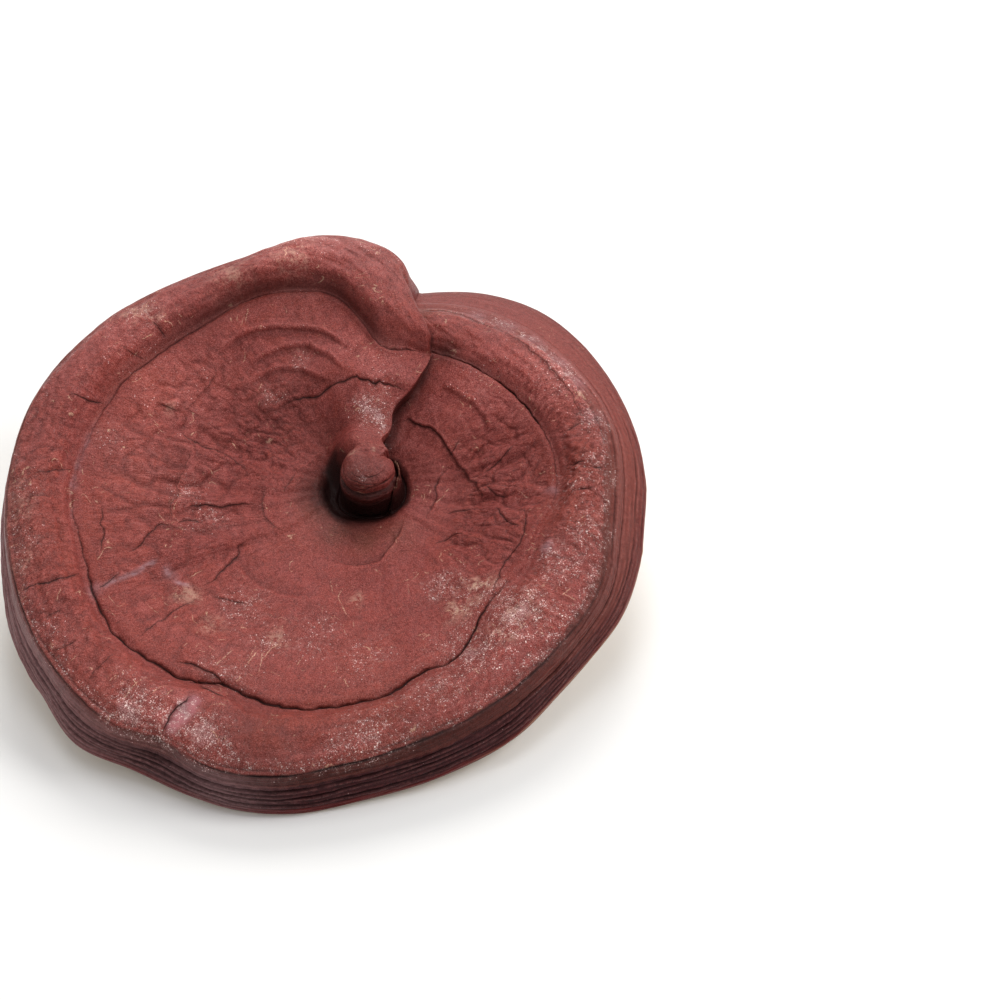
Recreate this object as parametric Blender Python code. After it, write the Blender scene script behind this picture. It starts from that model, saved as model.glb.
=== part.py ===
"""A dried reishi mushroom: a varnished bracket cap with its knob, seam and layered rim, on its stem's stub.

The cap is measured in its own frame, in millimetres: the stem's axis is the origin, +X is right, +Y is the
back, +Z is up and the plane Z = 0 touches the rolled margin. Clock angles run anticlockwise from +X. The
skin is one closed surface of rings round the axis: knob, bowl, groove, rolled margin, layered rim, pore
underside and stem. Each ring begins and ends at the seam, where the left lobe lies over the right one.
"""

import math

import bpy
import numpy as np

MM = 0.001

# The cut face of the stem and the front of the rim stand on the ground, which tilts the cap.
CAP_TILT = math.radians(16.0)

# The rings' columns, in degrees past the seam. They start on the upper lobe and end on the lower one.
COLUMNS = 112
FIRST_COLUMNS = (0.5, 1.3, 2.6, 4.4, 6.8)
MIDDLE_COLUMNS = (9.8, 355.4)
LAST_COLUMNS = (358.4, 360.0)

# The seam, from the knob past the beak to the notch in the outline: radius, clock angle.
SEAM = (
    (5, 43), (7, 45), (8, 49), (9.6, 54), (11.2, 58.5), (13.5, 66), (16.5, 72), (19.4, 74.5), (22.7, 74.5),
    (24.8, 73), (26.5, 69.5), (30, 67.3), (35, 66), (40, 67), (43, 71), (46, 77), (60, 78), (70, 78),
)
UNDERSIDE_SEAM = ((6, 75), (20, 76), (60, 78), (70, 78))
SEAM_ANGLE = 72.0
SEAM_REACH = 60.0  # degrees over which the rings' columns fade from the seam's swing to even spacing

# Curves round the clock: angle, radius. They run from the seam on the upper lobe (66) to the seam on the
# lower one (440).
GROOVE = (
    (66, 37.5), (76, 37), (84, 36), (90, 38.5), (95, 45), (101, 53), (110, 58.5), (120, 61.5), (132, 63),
    (148, 66.5), (156, 69.5), (167, 71.4), (188, 74.2), (199, 73.6), (212, 75.6), (224, 74.8), (233, 73),
    (241, 69), (252, 69.2), (263, 66.6), (275, 63), (284, 58.3), (292, 57), (299, 53), (307, 48),
    (324, 46.6), (336, 44.2), (350, 46.3), (363, 46.1), (386, 43.8), (414, 42), (440, 41.5),
)
SHOULDER = (
    (64, 49), (70, 50), (77, 52.5), (81, 58), (86, 64), (92, 68), (102, 72), (118, 73), (128, 75.8),
    (147, 83.4), (165, 88.6), (180, 90), (194, 91), (219, 93.2), (232, 92.6), (238, 89.4), (247, 90.5),
    (256, 88.4), (266, 83.3), (279, 78.1), (288, 75.3), (300, 71.8), (314, 68.6), (329, 66), (345, 61.2),
    (375, 59.8), (397, 57.5), (419, 56.5), (440, 54.5),
)
LIP = (
    (64, 60), (77, 61), (86, 66.5), (97, 71), (107, 74.5), (118, 75.5), (128, 78), (147, 85.4), (165, 90.6),
    (185, 93.2), (196, 94.2), (206, 96.4), (217, 97), (226, 98.6), (235, 94.8), (244, 93.6), (252, 92.6),
    (260, 90.2), (269, 85.8), (283, 81.3), (299, 77.2), (308, 74), (318, 72.2), (330, 71.8), (341, 70.4),
    (352, 69), (360, 69), (375, 69), (388, 69.4), (401, 70.4), (413, 71), (425, 69.4), (440, 65),
)
# Height of the rolled margin over the cap's plane: the left lobe rides up over the right one.
LIFT = (
    (64, 1.0), (72, 2.5), (80, 5), (95, 5.5), (110, 4.5), (130, 2.5), (150, 0.8), (180, 0), (225, 0.4),
    (270, 0), (310, -0.4), (360, 0), (395, -1), (415, -2.5), (440, -4.5),
)
# Depth of the layered rim, as a share of its depth in front.
RIM_DEPTH = ((64, 0.9), (120, 0.9), (180, 1), (310, 1), (350, 0.92), (385, 0.8), (440, 0.75))

# The knob and the pit that it stands in lie a little off the stem's axis.
KNOB_AT = (-1.3, 3.2)
PIT_AT = (-3.0, 2.8)
PIT_SHARE = 0.25  # share of the bowl over which its rings come back to the axis

# Sections from the middle outwards.
# Knob: radius, height, and the radius that a ring has in the ridge's neck.
KNOB_TOP = -3.6
KNOB = (
    (1.7, -3.7, 1.7), (3.3, -4.1, 3.1), (4.8, -4.9, 4.4), (5.8, -6.0, 5.2), (6.2, -7.4, 5.8),
    (6.0, -8.4, 6.2), (5.4, -9.3, 6.5), (6.9, -9.9, 6.8), (7.4, -11.2, 7.1), (7.4, -13.0, 7.4),
    (7.2, -16.0, 7.8),
)
# Radius of the pit round the clock: angle, radius.
PIT_EDGE = (
    (64, 9.6), (120, 9.4), (180, 9.0), (230, 8.4), (270, 7.8), (310, 9.2), (350, 10.9), (380, 11.2),
    (410, 10.8), (440, 9.8),
)
# Bowl: share of the way from the pit's edge to the groove, height.
BOWL = (
    (0.0, -20.0), (0.015, -17.0), (0.07, -15.5), (0.15, -15.0), (0.25, -14.3), (0.37, -12.9), (0.49, -11.2),
    (0.59, -9.7), (0.66, -8.9), (0.76, -7.3), (0.86, -5.8), (0.93, -4.8), (0.975, -4.7), (1.0, -6.2),
)
# Rolled margin: share of the way from the groove to the shoulder, height.
ROLL = ((0.05, -4.9), (0.13, -2.9), (0.28, -0.9), (0.48, 0.0), (0.68, -0.3), (0.86, -1.3), (1.0, -3.0))
# Layered rim, from the shoulder down: share of the way from the shoulder to the lip, drop.
RIM = (
    (0.22, 1.6), (0.40, 4.6), (0.33, 5.3), (0.62, 6.2), (0.55, 6.9), (0.80, 7.7), (0.73, 8.3), (0.93, 9.1),
    (0.87, 9.7), (1.0, 10.6), (0.985, 11.6),
)
# Pore underside: share of the way from the lip to the stem's foot, height.
UNDERSIDE = (
    (0.03, -15.2), (0.10, -15.4), (0.25, -16.2), (0.42, -17.6), (0.60, -19.5), (0.78, -21.6), (0.92, -23.2),
)
STEM_FOOT = (16.5, -23.9)
# Stem stub: share of its length, radius. It leans, and its section is a lumpy oval.
STEM = ((0.0, 14.6), (0.12, 13.9), (0.5, 12.9), (0.93, 12.6), (1.0, 11.7))
STEM_LEAN = (-8.0, -5.0)
STEM_LUMPS = ((2, 0.8, 0.9), (3, 0.35, 2.0), (5, 0.25, 0.3))  # count round the stem, height, start angle

# Ridge from the knob up to the beak: radius, width, height of its crest.
RIDGE = (
    (6, 13.5, -5.4), (10, 16.5, -6.0), (15, 18.5, -6.0), (20, 22, -5.1), (25, 29, -4.0), (30, 37, -3.0),
    (37, 46, -2.0),
)
RIDGE_STEEP = 0.35  # share of the ridge's width before it starts to fall away from the seam

STEP_ROUND = 3.4  # rounding of the upper lobe's edge along the rolled margin
STEP_ROUND_INNER = 1.4
STEP_ROUND_KNOB = 0.2  # the same on the knob, as a share of the ring's radius

# Radial folds: count round the clock, height, start angle.
BOWL_FOLDS = ((11, 0.2, 0.4), (23, 0.2, 1.9), (38, 0.2, 4.1))
ROLL_FOLDS = ((9, 0.35, 2.2), (16, 0.25, 0.7), (29, 0.18, 5.0))
# Ledge across the upper lobe's ridge, where the surface steps down inwards: clock angle, radius, drop.
LEDGE = (
    (60, 26.2, 1.3), (72, 26.2, 1.4), (84, 27.3, 1.3), (98, 28.6, 1.3), (114, 29.6, 1.2), (127, 32.5, 1.0),
    (142, 36, 0),
)
LEDGE_SLOPE = 2.0
# How strongly the bowl is folded round the clock.
FOLDED = (
    (64, 0.3), (110, 1), (170, 1.5), (215, 1), (245, 0.3), (300, 0.3), (330, 1), (390, 1.2), (440, 0.4),
)

# The knob, the stem, the first rings of the bowl and the last ones of the underside have half the columns.
COARSE_BOWL_RINGS = 4
COARSE_UNDERSIDE_RINGS = 3


def curve(points, at):
    """Smooth curve through (x, value) points, read at the given x."""
    xs, ys = np.array(points, float).T
    slopes = np.gradient(ys, xs)
    i = np.clip(np.searchsorted(xs, at) - 1, 0, len(xs) - 2)
    gap = xs[i + 1] - xs[i]
    t = np.clip((at - xs[i]) / gap, 0, 1)
    return (
        ys[i] * (1 + 2 * t) * (1 - t) ** 2
        + ys[i + 1] * t * t * (3 - 2 * t)
        + gap * t * (1 - t) * (slopes[i] * (1 - t) - slopes[i + 1] * t)
    )


def fading(u):
    """1 at 0, easing to 0 at 1."""
    return (1 + np.cos(math.pi * np.clip(u, 0, 1))) / 2


def quarter(u):
    """Quarter circle: rises steeply from 0 and levels out at 1."""
    return np.sqrt(1 - (1 - np.clip(u, 0, 1)) ** 2)


def folds(waves, angles):
    return sum(height * np.sin(count * np.radians(angles) + start) for count, height, start in waves)


def column_steps():
    """Degrees past the seam of each column, closer together where the upper lobe's edge turns down."""
    middle = COLUMNS - len(FIRST_COLUMNS) - len(LAST_COLUMNS)
    return np.concatenate([FIRST_COLUMNS, np.linspace(*MIDDLE_COLUMNS, middle), LAST_COLUMNS])


def ring(radius_of, height_of, steps, edge, seam=SEAM):
    """Points of one ring. Past the seam it rises from its foot on the lower lobe over a rounded edge."""
    start, end = SEAM_ANGLE, SEAM_ANGLE + 360
    for _ in range(3):
        start = curve(seam, radius_of(start))
        end = curve(seam, radius_of(end)) + 360
    angles = SEAM_ANGLE + steps
    angles = angles + (start - SEAM_ANGLE) * fading(steps / SEAM_REACH)
    angles = angles + (end - SEAM_ANGLE - 360) * fading((360 - steps) / SEAM_REACH)
    radii = radius_of(angles)
    past = np.radians(steps) * radii
    turned = np.radians(angles)
    heights = height_of(angles, radii, past)
    points = np.column_stack([radii * np.cos(turned), radii * np.sin(turned), heights])
    foot = points[-1]
    return foot + (points - foot) * quarter(past / edge)[:, None]


def ridge(radii, past):
    """Crest height of the ridge, and its share at a distance past the seam."""
    width = curve([(r, w) for r, w, _ in RIDGE], radii)
    crest = curve([(r, z) for r, _, z in RIDGE], radii)
    return crest, fading((past / width - RIDGE_STEEP) / (1 - RIDGE_STEEP)) * (past < width)


def ledge(angles, radii):
    """How far the surface lies below the ledge's upper level."""
    edge = curve([(a, r) for a, r, _ in LEDGE], angles)
    drop = curve([(a, d) for a, _, d in LEDGE], angles) * (angles < LEDGE[-1][0])
    return drop * fading((radii - edge) / LEDGE_SLOPE + 0.5)


def knob_ring(radius, height, neck_radius, steps):
    past = np.radians(steps) * neck_radius
    crest, share = ridge(neck_radius, past)
    share = share * (height < crest)
    radii = radius + (neck_radius - radius) * share
    heights = height + (crest - height) * share
    edge = min(STEP_ROUND_INNER, STEP_ROUND_KNOB * radius)
    shape = ring(lambda angles: radius + 0 * angles, lambda *_: heights, steps, edge)
    shape[:, :2] *= (radii / radius)[:, None]
    shape[:, :2] += KNOB_AT
    return shape


def bowl_ring(share, height, steps):
    def radius_of(angles):
        start = curve(PIT_EDGE, angles)
        return start + (curve(GROOVE, angles) - start) * share

    def height_of(angles, radii, past):
        wave = folds(BOWL_FOLDS, angles) * curve(FOLDED, angles) * math.sin(math.pi * share)
        heights = height + 0.6 * curve(LIFT, angles) * share + wave
        crest, ridged = ridge(radii, past)
        return heights + np.maximum(crest - heights, 0) * ridged - ledge(angles, radii) * min(1, 3 * share)

    shape = ring(radius_of, height_of, steps, STEP_ROUND_INNER)
    shape[:, :2] += np.array(PIT_AT) * fading(share / PIT_SHARE)
    return shape


def roll_ring(share, height, steps):
    def radius_of(angles):
        groove = curve(GROOVE, angles)
        return groove + (curve(SHOULDER, angles) - groove) * share

    def height_of(angles, _radii, _past):
        wave = folds(ROLL_FOLDS, angles) * math.sin(math.pi * share)
        return height + curve(LIFT, angles) * (0.6 + 0.4 * min(1, 4 * share)) + wave

    return ring(radius_of, height_of, steps, STEP_ROUND)


def rim_ring(share, drop, steps):
    def radius_of(angles):
        shoulder = curve(SHOULDER, angles)
        return shoulder + (curve(LIP, angles) - shoulder) * share

    def height_of(angles, _radii, _past):
        return ROLL[-1][1] - drop * curve(RIM_DEPTH, angles) + curve(LIFT, angles) * (1 - 0.2 * share)

    return ring(radius_of, height_of, steps, STEP_ROUND)


def underside_ring(share, height, steps):
    foot_radius, foot_height = STEM_FOOT

    def radius_of(angles):
        lip = curve(LIP, angles)
        return lip + (foot_radius - lip) * share

    def height_of(angles, _radii, _past):
        shallow = (1 - curve(RIM_DEPTH, angles)) * RIM[-1][1] * (1 - share)
        return height + shallow + 0.8 * curve(LIFT, angles) * (1 - share) ** 1.5

    return ring(radius_of, height_of, steps, STEP_ROUND, UNDERSIDE_SEAM)


def cap_rings(steps):
    rings = [knob_ring(*section, steps) for section in KNOB]
    rings += [bowl_ring(*section, steps) for section in BOWL]
    rings += [roll_ring(*section, steps) for section in ROLL]
    rings += [rim_ring(*section, steps) for section in RIM]
    rings += [underside_ring(*section, steps) for section in UNDERSIDE]
    rings.append(underside_ring(1.0, STEM_FOOT[1], steps))
    return rings


def ground_under(rings):
    """Distance of the level ground below the cap's origin, where the tilted rim first meets it."""
    heights = [points[:, 1] * math.sin(CAP_TILT) + points[:, 2] * math.cos(CAP_TILT) for points in rings]
    return min(height.min() for height in heights)


def cut_height(x_y, ground):
    """Height, in the cap's frame, of the level cut at a place."""
    return (ground - x_y[..., 1] * math.sin(CAP_TILT)) / math.cos(CAP_TILT)


def stem_ring(share, radius, steps, ground):
    """A ring of the stem stub: the last one lies in the level cut."""
    angles = np.radians(SEAM_ANGLE + steps)
    radii = radius + folds(STEM_LUMPS, np.degrees(angles))
    x_y = np.stack([radii * np.cos(angles), radii * np.sin(angles)], axis=1) + np.array(STEM_LEAN) * share
    heights = STEM_FOOT[1] + (cut_height(x_y, ground) - STEM_FOOT[1]) * share
    return np.column_stack([x_y, heights])


def band(inner, outer):
    """Faces between two rings of point numbers, where one may have twice as many as the other."""
    if len(inner) > len(outer):
        return [face[::-1] for face in band(outer, inner)]
    count = len(inner)
    faces = []
    for j in range(count):
        k = (j + 1) % count
        if len(outer) == count:
            faces.append((inner[j], outer[j], outer[k], inner[k]))
        else:
            here, there = inner[j], inner[k]
            before, between, after = outer[2 * j + 1], outer[(2 * j + 2) % len(outer)], outer[2 * k + 1]
            faces += [(here, before, between), (here, between, there), (there, between, after)]
    return faces


def fan(tip, around):
    return [(tip, here, after) for here, after in zip(around, [*around[1:], around[0]])]


def mushroom_mesh():
    steps = column_steps()
    rings = cap_rings(steps)
    ground = ground_under(rings)
    cut_centre = np.array([*STEM_LEAN, 0.0])
    cut_centre[2] = cut_height(cut_centre, ground)

    fine = range(len(KNOB) + COARSE_BOWL_RINGS, len(rings) - COARSE_UNDERSIDE_RINGS)
    rings += [stem_ring(*section, steps, ground) for section in STEM]
    points = [np.array([*KNOB_AT, KNOB_TOP]), cut_centre]
    numbered = []
    for index, places in enumerate(rings):
        kept = places if index in fine else places[1::2]
        numbered.append(list(range(len(points), len(points) + len(kept))))
        points.extend(kept)

    faces = fan(0, numbered[0]) + fan(1, numbered[-1][::-1])
    for inner, outer in zip(numbered, numbered[1:]):
        faces += band(inner, outer)
    mesh = bpy.data.meshes.new("reishi_mushroom")
    mesh.from_pydata((np.array(points) - cut_centre) * MM, [], faces)
    mesh.shade_smooth()
    return mesh


def varnished_skin():
    material = bpy.data.materials.new("varnished_skin")
    material.use_nodes = True
    shader = material.node_tree.nodes["Principled BSDF"]
    shader.inputs["Base Color"].default_value = (0.26, 0.075, 0.052, 1)
    shader.inputs["Roughness"].default_value = 0.6
    shader.inputs["Metallic"].default_value = 0.0
    return material


def main():
    for thing in list(bpy.data.objects):
        bpy.data.objects.remove(thing)
    collection = bpy.data.collections.new("dried_reishi_mushroom")
    bpy.context.scene.collection.children.link(collection)
    mushroom = bpy.data.objects.new("reishi_mushroom", mushroom_mesh())
    mushroom.data.materials.append(varnished_skin())
    mushroom.rotation_euler.x = CAP_TILT
    collection.objects.link(mushroom)


main()
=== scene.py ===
"""The looks of the dried reishi mushroom: its skin as a fine mesh, with varnish, layers, pores and cut wood.

The skin is measured in the cap's own frame, in millimetres: the stem's axis is the origin, +X is right, +Y is
the back, +Z is up. Clock angles run anticlockwise from +X, in degrees. Rings round the axis follow the solid
from the knob over bowl, groove, rolled margin and layered rim to the pore underside. Fine rows run between
the rings, and cracks, ledges, wrinkles and layers are raised on them along the surface's own direction.
"""

import math

import bpy
import numpy as np
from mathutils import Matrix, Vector

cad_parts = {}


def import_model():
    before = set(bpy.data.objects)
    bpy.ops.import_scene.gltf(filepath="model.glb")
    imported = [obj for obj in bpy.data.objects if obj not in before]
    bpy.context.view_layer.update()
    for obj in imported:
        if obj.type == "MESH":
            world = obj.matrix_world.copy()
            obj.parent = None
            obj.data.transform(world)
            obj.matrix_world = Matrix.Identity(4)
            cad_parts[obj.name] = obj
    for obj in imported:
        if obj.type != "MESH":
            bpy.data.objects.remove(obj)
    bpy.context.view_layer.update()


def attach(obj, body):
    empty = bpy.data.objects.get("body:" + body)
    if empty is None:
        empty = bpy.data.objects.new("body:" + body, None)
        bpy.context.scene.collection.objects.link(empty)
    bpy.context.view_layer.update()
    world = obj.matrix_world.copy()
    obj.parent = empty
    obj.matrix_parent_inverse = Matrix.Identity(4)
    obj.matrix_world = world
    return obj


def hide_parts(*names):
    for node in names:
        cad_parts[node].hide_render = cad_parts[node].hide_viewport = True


MM = 0.001
NODE = "reishi_mushroom"
CAP_TILT = math.radians(16.0)
CUT_CENTRE = np.array([-8.0, -5.0, -39.048])  # of the stem's cut face, which is the origin of the whole part

# --- The rings, as in the solid -----------------------------------------------------------------------------

# Where the seam runs on the upper side and beneath: radius, clock angle.
SEAM = (
    (5, 43), (7, 45), (8, 49), (9.6, 54), (11.2, 58.5), (13.5, 66), (16.5, 72), (19.4, 74.5), (22.7, 74.5),
    (24.8, 73), (26.5, 69.5), (30, 67.3), (35, 66), (39, 66.8), (42, 68), (45.8, 72.3), (48.5, 78),
    (60, 80.5), (70, 80.5),
)
UNDERSIDE_SEAM = ((6, 75), (20, 76), (60, 80.5), (70, 80.5))
SEAM_ANGLE = 72.0
SEAM_ROUNDS = 3  # of finding where on the seam a ring begins and ends
FRONT = 270.0
SEAM_REACH = 60.0  # degrees over which the rings' columns fade from the seam's swing to even spacing

# Outlines round the clock, from the seam on the upper lobe to the seam on the lower one: angle, radius.
GROOVE = (
    (66, 37.5), (76, 37), (84, 36), (90, 38.5), (95, 45), (101, 53), (110, 58.5), (120, 61.5), (132, 63),
    (148, 66.5), (156, 69.5), (167, 71.4), (188, 74.2), (199, 73.6), (212, 75.6), (224, 74.8), (233, 73),
    (241, 69), (252, 69.2), (263, 66.6), (275, 63), (284, 58.3), (292, 57), (299, 53), (307, 48), (324, 46.6),
    (336, 44.2), (350, 46.3), (363, 46.1), (386, 43.8), (414, 42), (440, 41.5),
)
SHOULDER = (
    (64, 49), (70, 50), (77, 52.5), (81, 58), (86, 64), (92, 68), (102, 72), (118, 73), (128, 75.8),
    (147, 83.4), (165, 88.6), (180, 90), (194, 91), (219, 93.2), (232, 92.6), (238, 89.4), (247, 90.5),
    (256, 88.4), (266, 83.3), (279, 78.1), (288, 75.3), (300, 71.8), (314, 68.6), (329, 66), (345, 61.2),
    (375, 59.8), (397, 57.5), (419, 56.5), (440, 54.5),
)
LIP = (
    (64, 60), (77, 61), (86, 66.5), (97, 71), (107, 74.5), (118, 75.5), (128, 78), (147, 85.4), (165, 90.6),
    (185, 93.2), (196, 94.2), (206, 96.4), (217, 97), (226, 98.6), (235, 94.8), (244, 93.6), (252, 92.6),
    (260, 90.2), (269, 85.8), (283, 81.3), (299, 77.2), (308, 74), (318, 72.2), (330, 71.8), (341, 70.4),
    (352, 69), (360, 69), (375, 69), (388, 69.4), (401, 70.4), (413, 71), (425, 69.4), (440, 65),
)
# Height of the rolled margin over the cap's plane: the left lobe rides up over the right one.
LIFT = (
    (64, 1.0), (72, 2.5), (80, 5), (95, 5.5), (110, 4.5), (130, 2.5), (150, 0.8), (180, 0), (225, 0.4),
    (270, 0), (310, -0.4), (360, 0), (395, -1), (415, -2.5), (440, -4.5),
)
# Depth of the layered rim, as a share of its depth in front.
RIM_DEPTH = ((64, 0.9), (120, 0.9), (180, 1), (310, 1), (350, 0.92), (385, 0.8), (440, 0.75))

KNOB_AT = (-1.2, 2.3)
PIT_AT = (-3.0, 2.8)
PIT_SHARE = 0.25  # share of the bowl over which its rings come back to the axis
# Sections from the middle outwards. Knob: radius, height, and the radius that a ring has in the ridge's neck.
KNOB = (
    (0.05, -3.6, 0.05), (1.7, -3.65, 1.5), (3.5, -3.95, 3.2), (4.9, -4.5, 4.9), (6.2, -5.5, 5.3),
    (6.85, -6.5, 5.6), (6.85, -7.1, 5.8), (6.55, -7.45, 6.0), (6.85, -7.85, 6.2), (6.75, -8.4, 6.4),
    (5.9, -9.4, 6.6), (7.0, -9.9, 6.8), (7.4, -10.9, 7.0), (7.2, -12.6, 7.3), (6.9, -15.4, 7.6),
    (6.7, -18.6, 7.8),
)
NECK_BEHIND = 3.0  # over which the neck eases into the knob beside the seam
KNOB_LINES = (4.6, 5.8, 6.8, 8.9)  # growth lines round its front: distance along the skin from its top
KNOB_FLAT = 0.87  # how much shorter the knob is from front to back than from side to side
# Torn sheath round the knob's right side: radius, height in the pit, height of the sheath, radius in the neck
# of the ridge.
SHEATH = ((7.6, -20.6, -12.5, 7.9), (8.1, -21.0, -8.6, 8.0), (8.5, -20.4, -12.5, 8.1))
SHEATH_MIDDLE = 378.0
SHEATH_HALF = 68.0
SHEATH_NARROW = 0.2  # share by which it is narrower in front
SHEATH_LIT_CREST = -14.0  # height above which its crest is painted pale, as a highlight
SHEATH_LIT_LINE = -12.0  # height above which a painted highlight line runs along its crest
# Radius of the pit round the clock.
PIT_EDGE = (
    (64, 9.6), (120, 9.4), (180, 9.0), (230, 8.4), (270, 7.8), (310, 9.2), (350, 10.9), (380, 11.2),
    (410, 10.8), (440, 9.8),
)
# How far the dark of the pit reaches over its edge: angle, distance.
PIT_SHADE = (
    (64, 2.0), (120, 2.4), (170, 2.0), (215, 2.6), (260, 3.6), (300, 2.8), (340, 1.4), (400, 1.2), (440, 2.0),
)
LIT_WALL = 378.0  # middle of the pit's wall that some light reaches
LIT_HALF = 50.0
LIT_SHARE = 0.45
PIT_DUSK = -8.5  # height below which the pit is in shade
PIT_NIGHT = -11.5  # height below which the knob's foot is darkest
# Bowl: share of the way from the pit's edge to the groove, height.
BOWL = (
    (0.0, -18.9), (0.015, -17.8), (0.04, -16.8), (0.08, -16.0), (0.15, -15.0), (0.25, -14.3), (0.37, -12.9),
    (0.49, -11.2), (0.59, -9.7), (0.66, -8.9), (0.76, -7.3), (0.86, -5.8), (0.93, -4.9), (0.975, -4.6),
    (1.0, -5.1),
)
# Rolled margin: share of the way from the groove to the shoulder, height.
ROLL = ((0.04, -4.5), (0.13, -2.9), (0.28, -0.9), (0.48, 0.0), (0.68, -0.3), (0.86, -1.3), (1.0, -3.0))
# Layered rim, from the shoulder down: share of the way from the shoulder to the lip, drop.
RIM = ((0.22, 1.6), (0.38, 4.4), (0.60, 6.3), (0.78, 7.9), (0.92, 9.3), (1.0, 10.6), (0.985, 11.6))
# Pore underside: share of the way from the lip to the stem's foot, height.
UNDERSIDE = (
    (0.03, -15.2), (0.10, -15.4), (0.25, -16.2), (0.42, -17.6), (0.60, -19.5), (0.78, -21.6), (0.92, -23.2),
    (1.0, -23.9),
)
STEM_FOOT = (16.5, -23.9)  # radius, height
# Stem stub, flaring out of the underside: share of the way down to the cut, radius.
STEM = (
    (-0.09, 19.8), (-0.03, 18.2), (0.02, 16.5), (0.08, 14.9), (0.16, 14.0), (0.5, 12.9), (0.93, 12.6),
    (1.0, 11.7),
)
STEM_LEAN = (-8.0, -5.0)
STEM_LUMPS = ((2, 0.8, 0.9), (3, 0.35, 2.0), (5, 0.25, 0.3))  # count round the stem, height, start angle
CUT_ROWS = (0.985, 0.9, 0.6, 0.3, 0.001)  # of the cut face, as shares of its radius

# Ridge from the knob up to the beak: radius, width, height of its crest.
RIDGE = (
    (6, 12.5, -4.9), (10, 15.5, -5.9), (15, 18.5, -6.1), (20, 22, -5.1), (25, 29, -4.0), (30, 37, -3.0),
    (37, 46, -2.0),
)
RIDGE_STEEP = 0.35  # share of the ridge's width before it starts to fall away from the seam
STEP_ROUND = 3.4  # rounding of the upper lobe's edge along the rolled margin
STEP_ROUND_INNER = 0.6
UNDERCUT = 2.0  # how far the upper lobe's edge hangs over the lower one

# Radial folds: count round the clock, height, start angle, and how strongly the bowl has them.
BOWL_FOLDS = ((11, 0.2, 0.4), (23, 0.2, 1.9), (38, 0.2, 4.1))
ROLL_FOLDS = ((9, 0.35, 2.2), (16, 0.25, 0.7), (29, 0.18, 5.0))
FOLDED = ((64, 0.3), (110, 1), (170, 1.5), (215, 1), (245, 0.3), (300, 0.3), (330, 1), (390, 1.2), (440, 0.4))
# Ledge across the upper lobe's ridge, where the surface steps down inwards: clock angle, radius, drop.
LEDGE = (
    (60, 26, 1.3), (72.4, 26.2, 1.3), (77.4, 26.8, 1.4), (83.5, 27.3, 1.4), (89.4, 27.2, 1.3),
    (94, 28.1, 1.3), (104, 29.2, 1.3), (114, 29.6, 1.2), (118.4, 29.5, 1.2), (122, 30.8, 1.1),
    (127, 32.5, 1.0), (132, 33.9, 0.8), (138, 35.4, 0.5), (146, 36.5, 0),
)
LEDGE_SLOPE = 0.9

# --- The fine rows and columns ------------------------------------------------------------------------------

EDGE_COLUMNS = 50  # on the upper lobe's edge, and as many again on the lower lobe beside it
EDGE_ANGLE = 7.0
EDGE_CROWDING = 1.6
COLUMNS = 961
# Distance between rows. The bowl and the rolled margin have it up to a share of their way.
KNOB_STEP = 0.2
BOWL_STEPS = ((0.3, 0.27), (0.93, 0.31), (2, 0.17))
ROLL_STEPS = ((0.1, 0.15), (2, 0.24))
RIM_STEP = 0.2
UNDERSIDE_STEP = 0.7
STEM_STEP = 0.3
CUT_STEPS = (0.2, 0.3, 0.5, 0.6, 0.6)
FLOW_RADIUS = 60.0  # turns clock angles into millimetres for patterns that follow the skin
SEAM_FADE = 0.8  # degrees beside the seam over which the reliefs end, so that the lobes stay joined
STEM_FADE = 8.0  # the same on the stem

LATTICE = np.random.default_rng(11).random((256, 256)) * 2 * math.pi

# Places of the rows in the sections: each section counts one.
KNOB_LABEL, BOWL_LABEL, ROLL_LABEL, RIM_LABEL, UNDER_LABEL, LAST_LABEL = 0, 1, 2, 3, 4, 9
SHEATH_LABEL = 0.92
SHEATH_LABEL_STEP = 0.02
CREST_LABEL = SHEATH_LABEL + SHEATH_LABEL_STEP  # of the sheath's crest


def between(here, after, slope, slope_after, t):
    """Smooth way from one value to the next, with the slope that it has at either, per step."""
    return (
        here * (1 + 2 * t) * (1 - t) ** 2
        + after * t * t * (3 - 2 * t)
        + t * (1 - t) * (slope * (1 - t) - slope_after * t)
    )


def curve(table, at, column=1):
    """Smooth curve through the first column of a table and another one, read at the given x."""
    xs, ys = np.array([(row[0], row[column]) for row in table], float).T
    slopes = np.gradient(ys, xs)
    i = np.clip(np.searchsorted(xs, at) - 1, 0, len(xs) - 2)
    gap = xs[i + 1] - xs[i]
    t = np.clip((at - xs[i]) / gap, 0, 1)
    return between(ys[i], ys[i + 1], gap * slopes[i], gap * slopes[i + 1], t)


def fading(u):
    """1 at 0, easing to 0 at 1."""
    return (1 + np.cos(math.pi * np.clip(u, 0, 1))) / 2


def rising(u):
    """0 at 0, easing to 1 at 1."""
    return 1 - fading(u)


def quarter(u):
    """Quarter circle: rises steeply from 0 and levels out at 1."""
    return np.sqrt(1 - (1 - np.clip(u, 0, 1)) ** 2)


def bump(u):
    """Smooth hill, 1 at 0."""
    return np.exp(-(u**2))


def folds(waves, angles):
    return sum(height * np.sin(count * np.radians(angles) + start) for count, height, start in waves)


def spot(x, y, at_x, at_y, reach):
    """Smooth round patch of the plane, 1 in its middle."""
    return bump(np.hypot(x - at_x, y - at_y) / reach)


def polar(radii, angles):
    """Places in the plane at radii and clock angles in degrees."""
    turned = np.radians(angles)
    return np.stack([radii * np.cos(turned), radii * np.sin(turned)], axis=-1)


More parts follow.
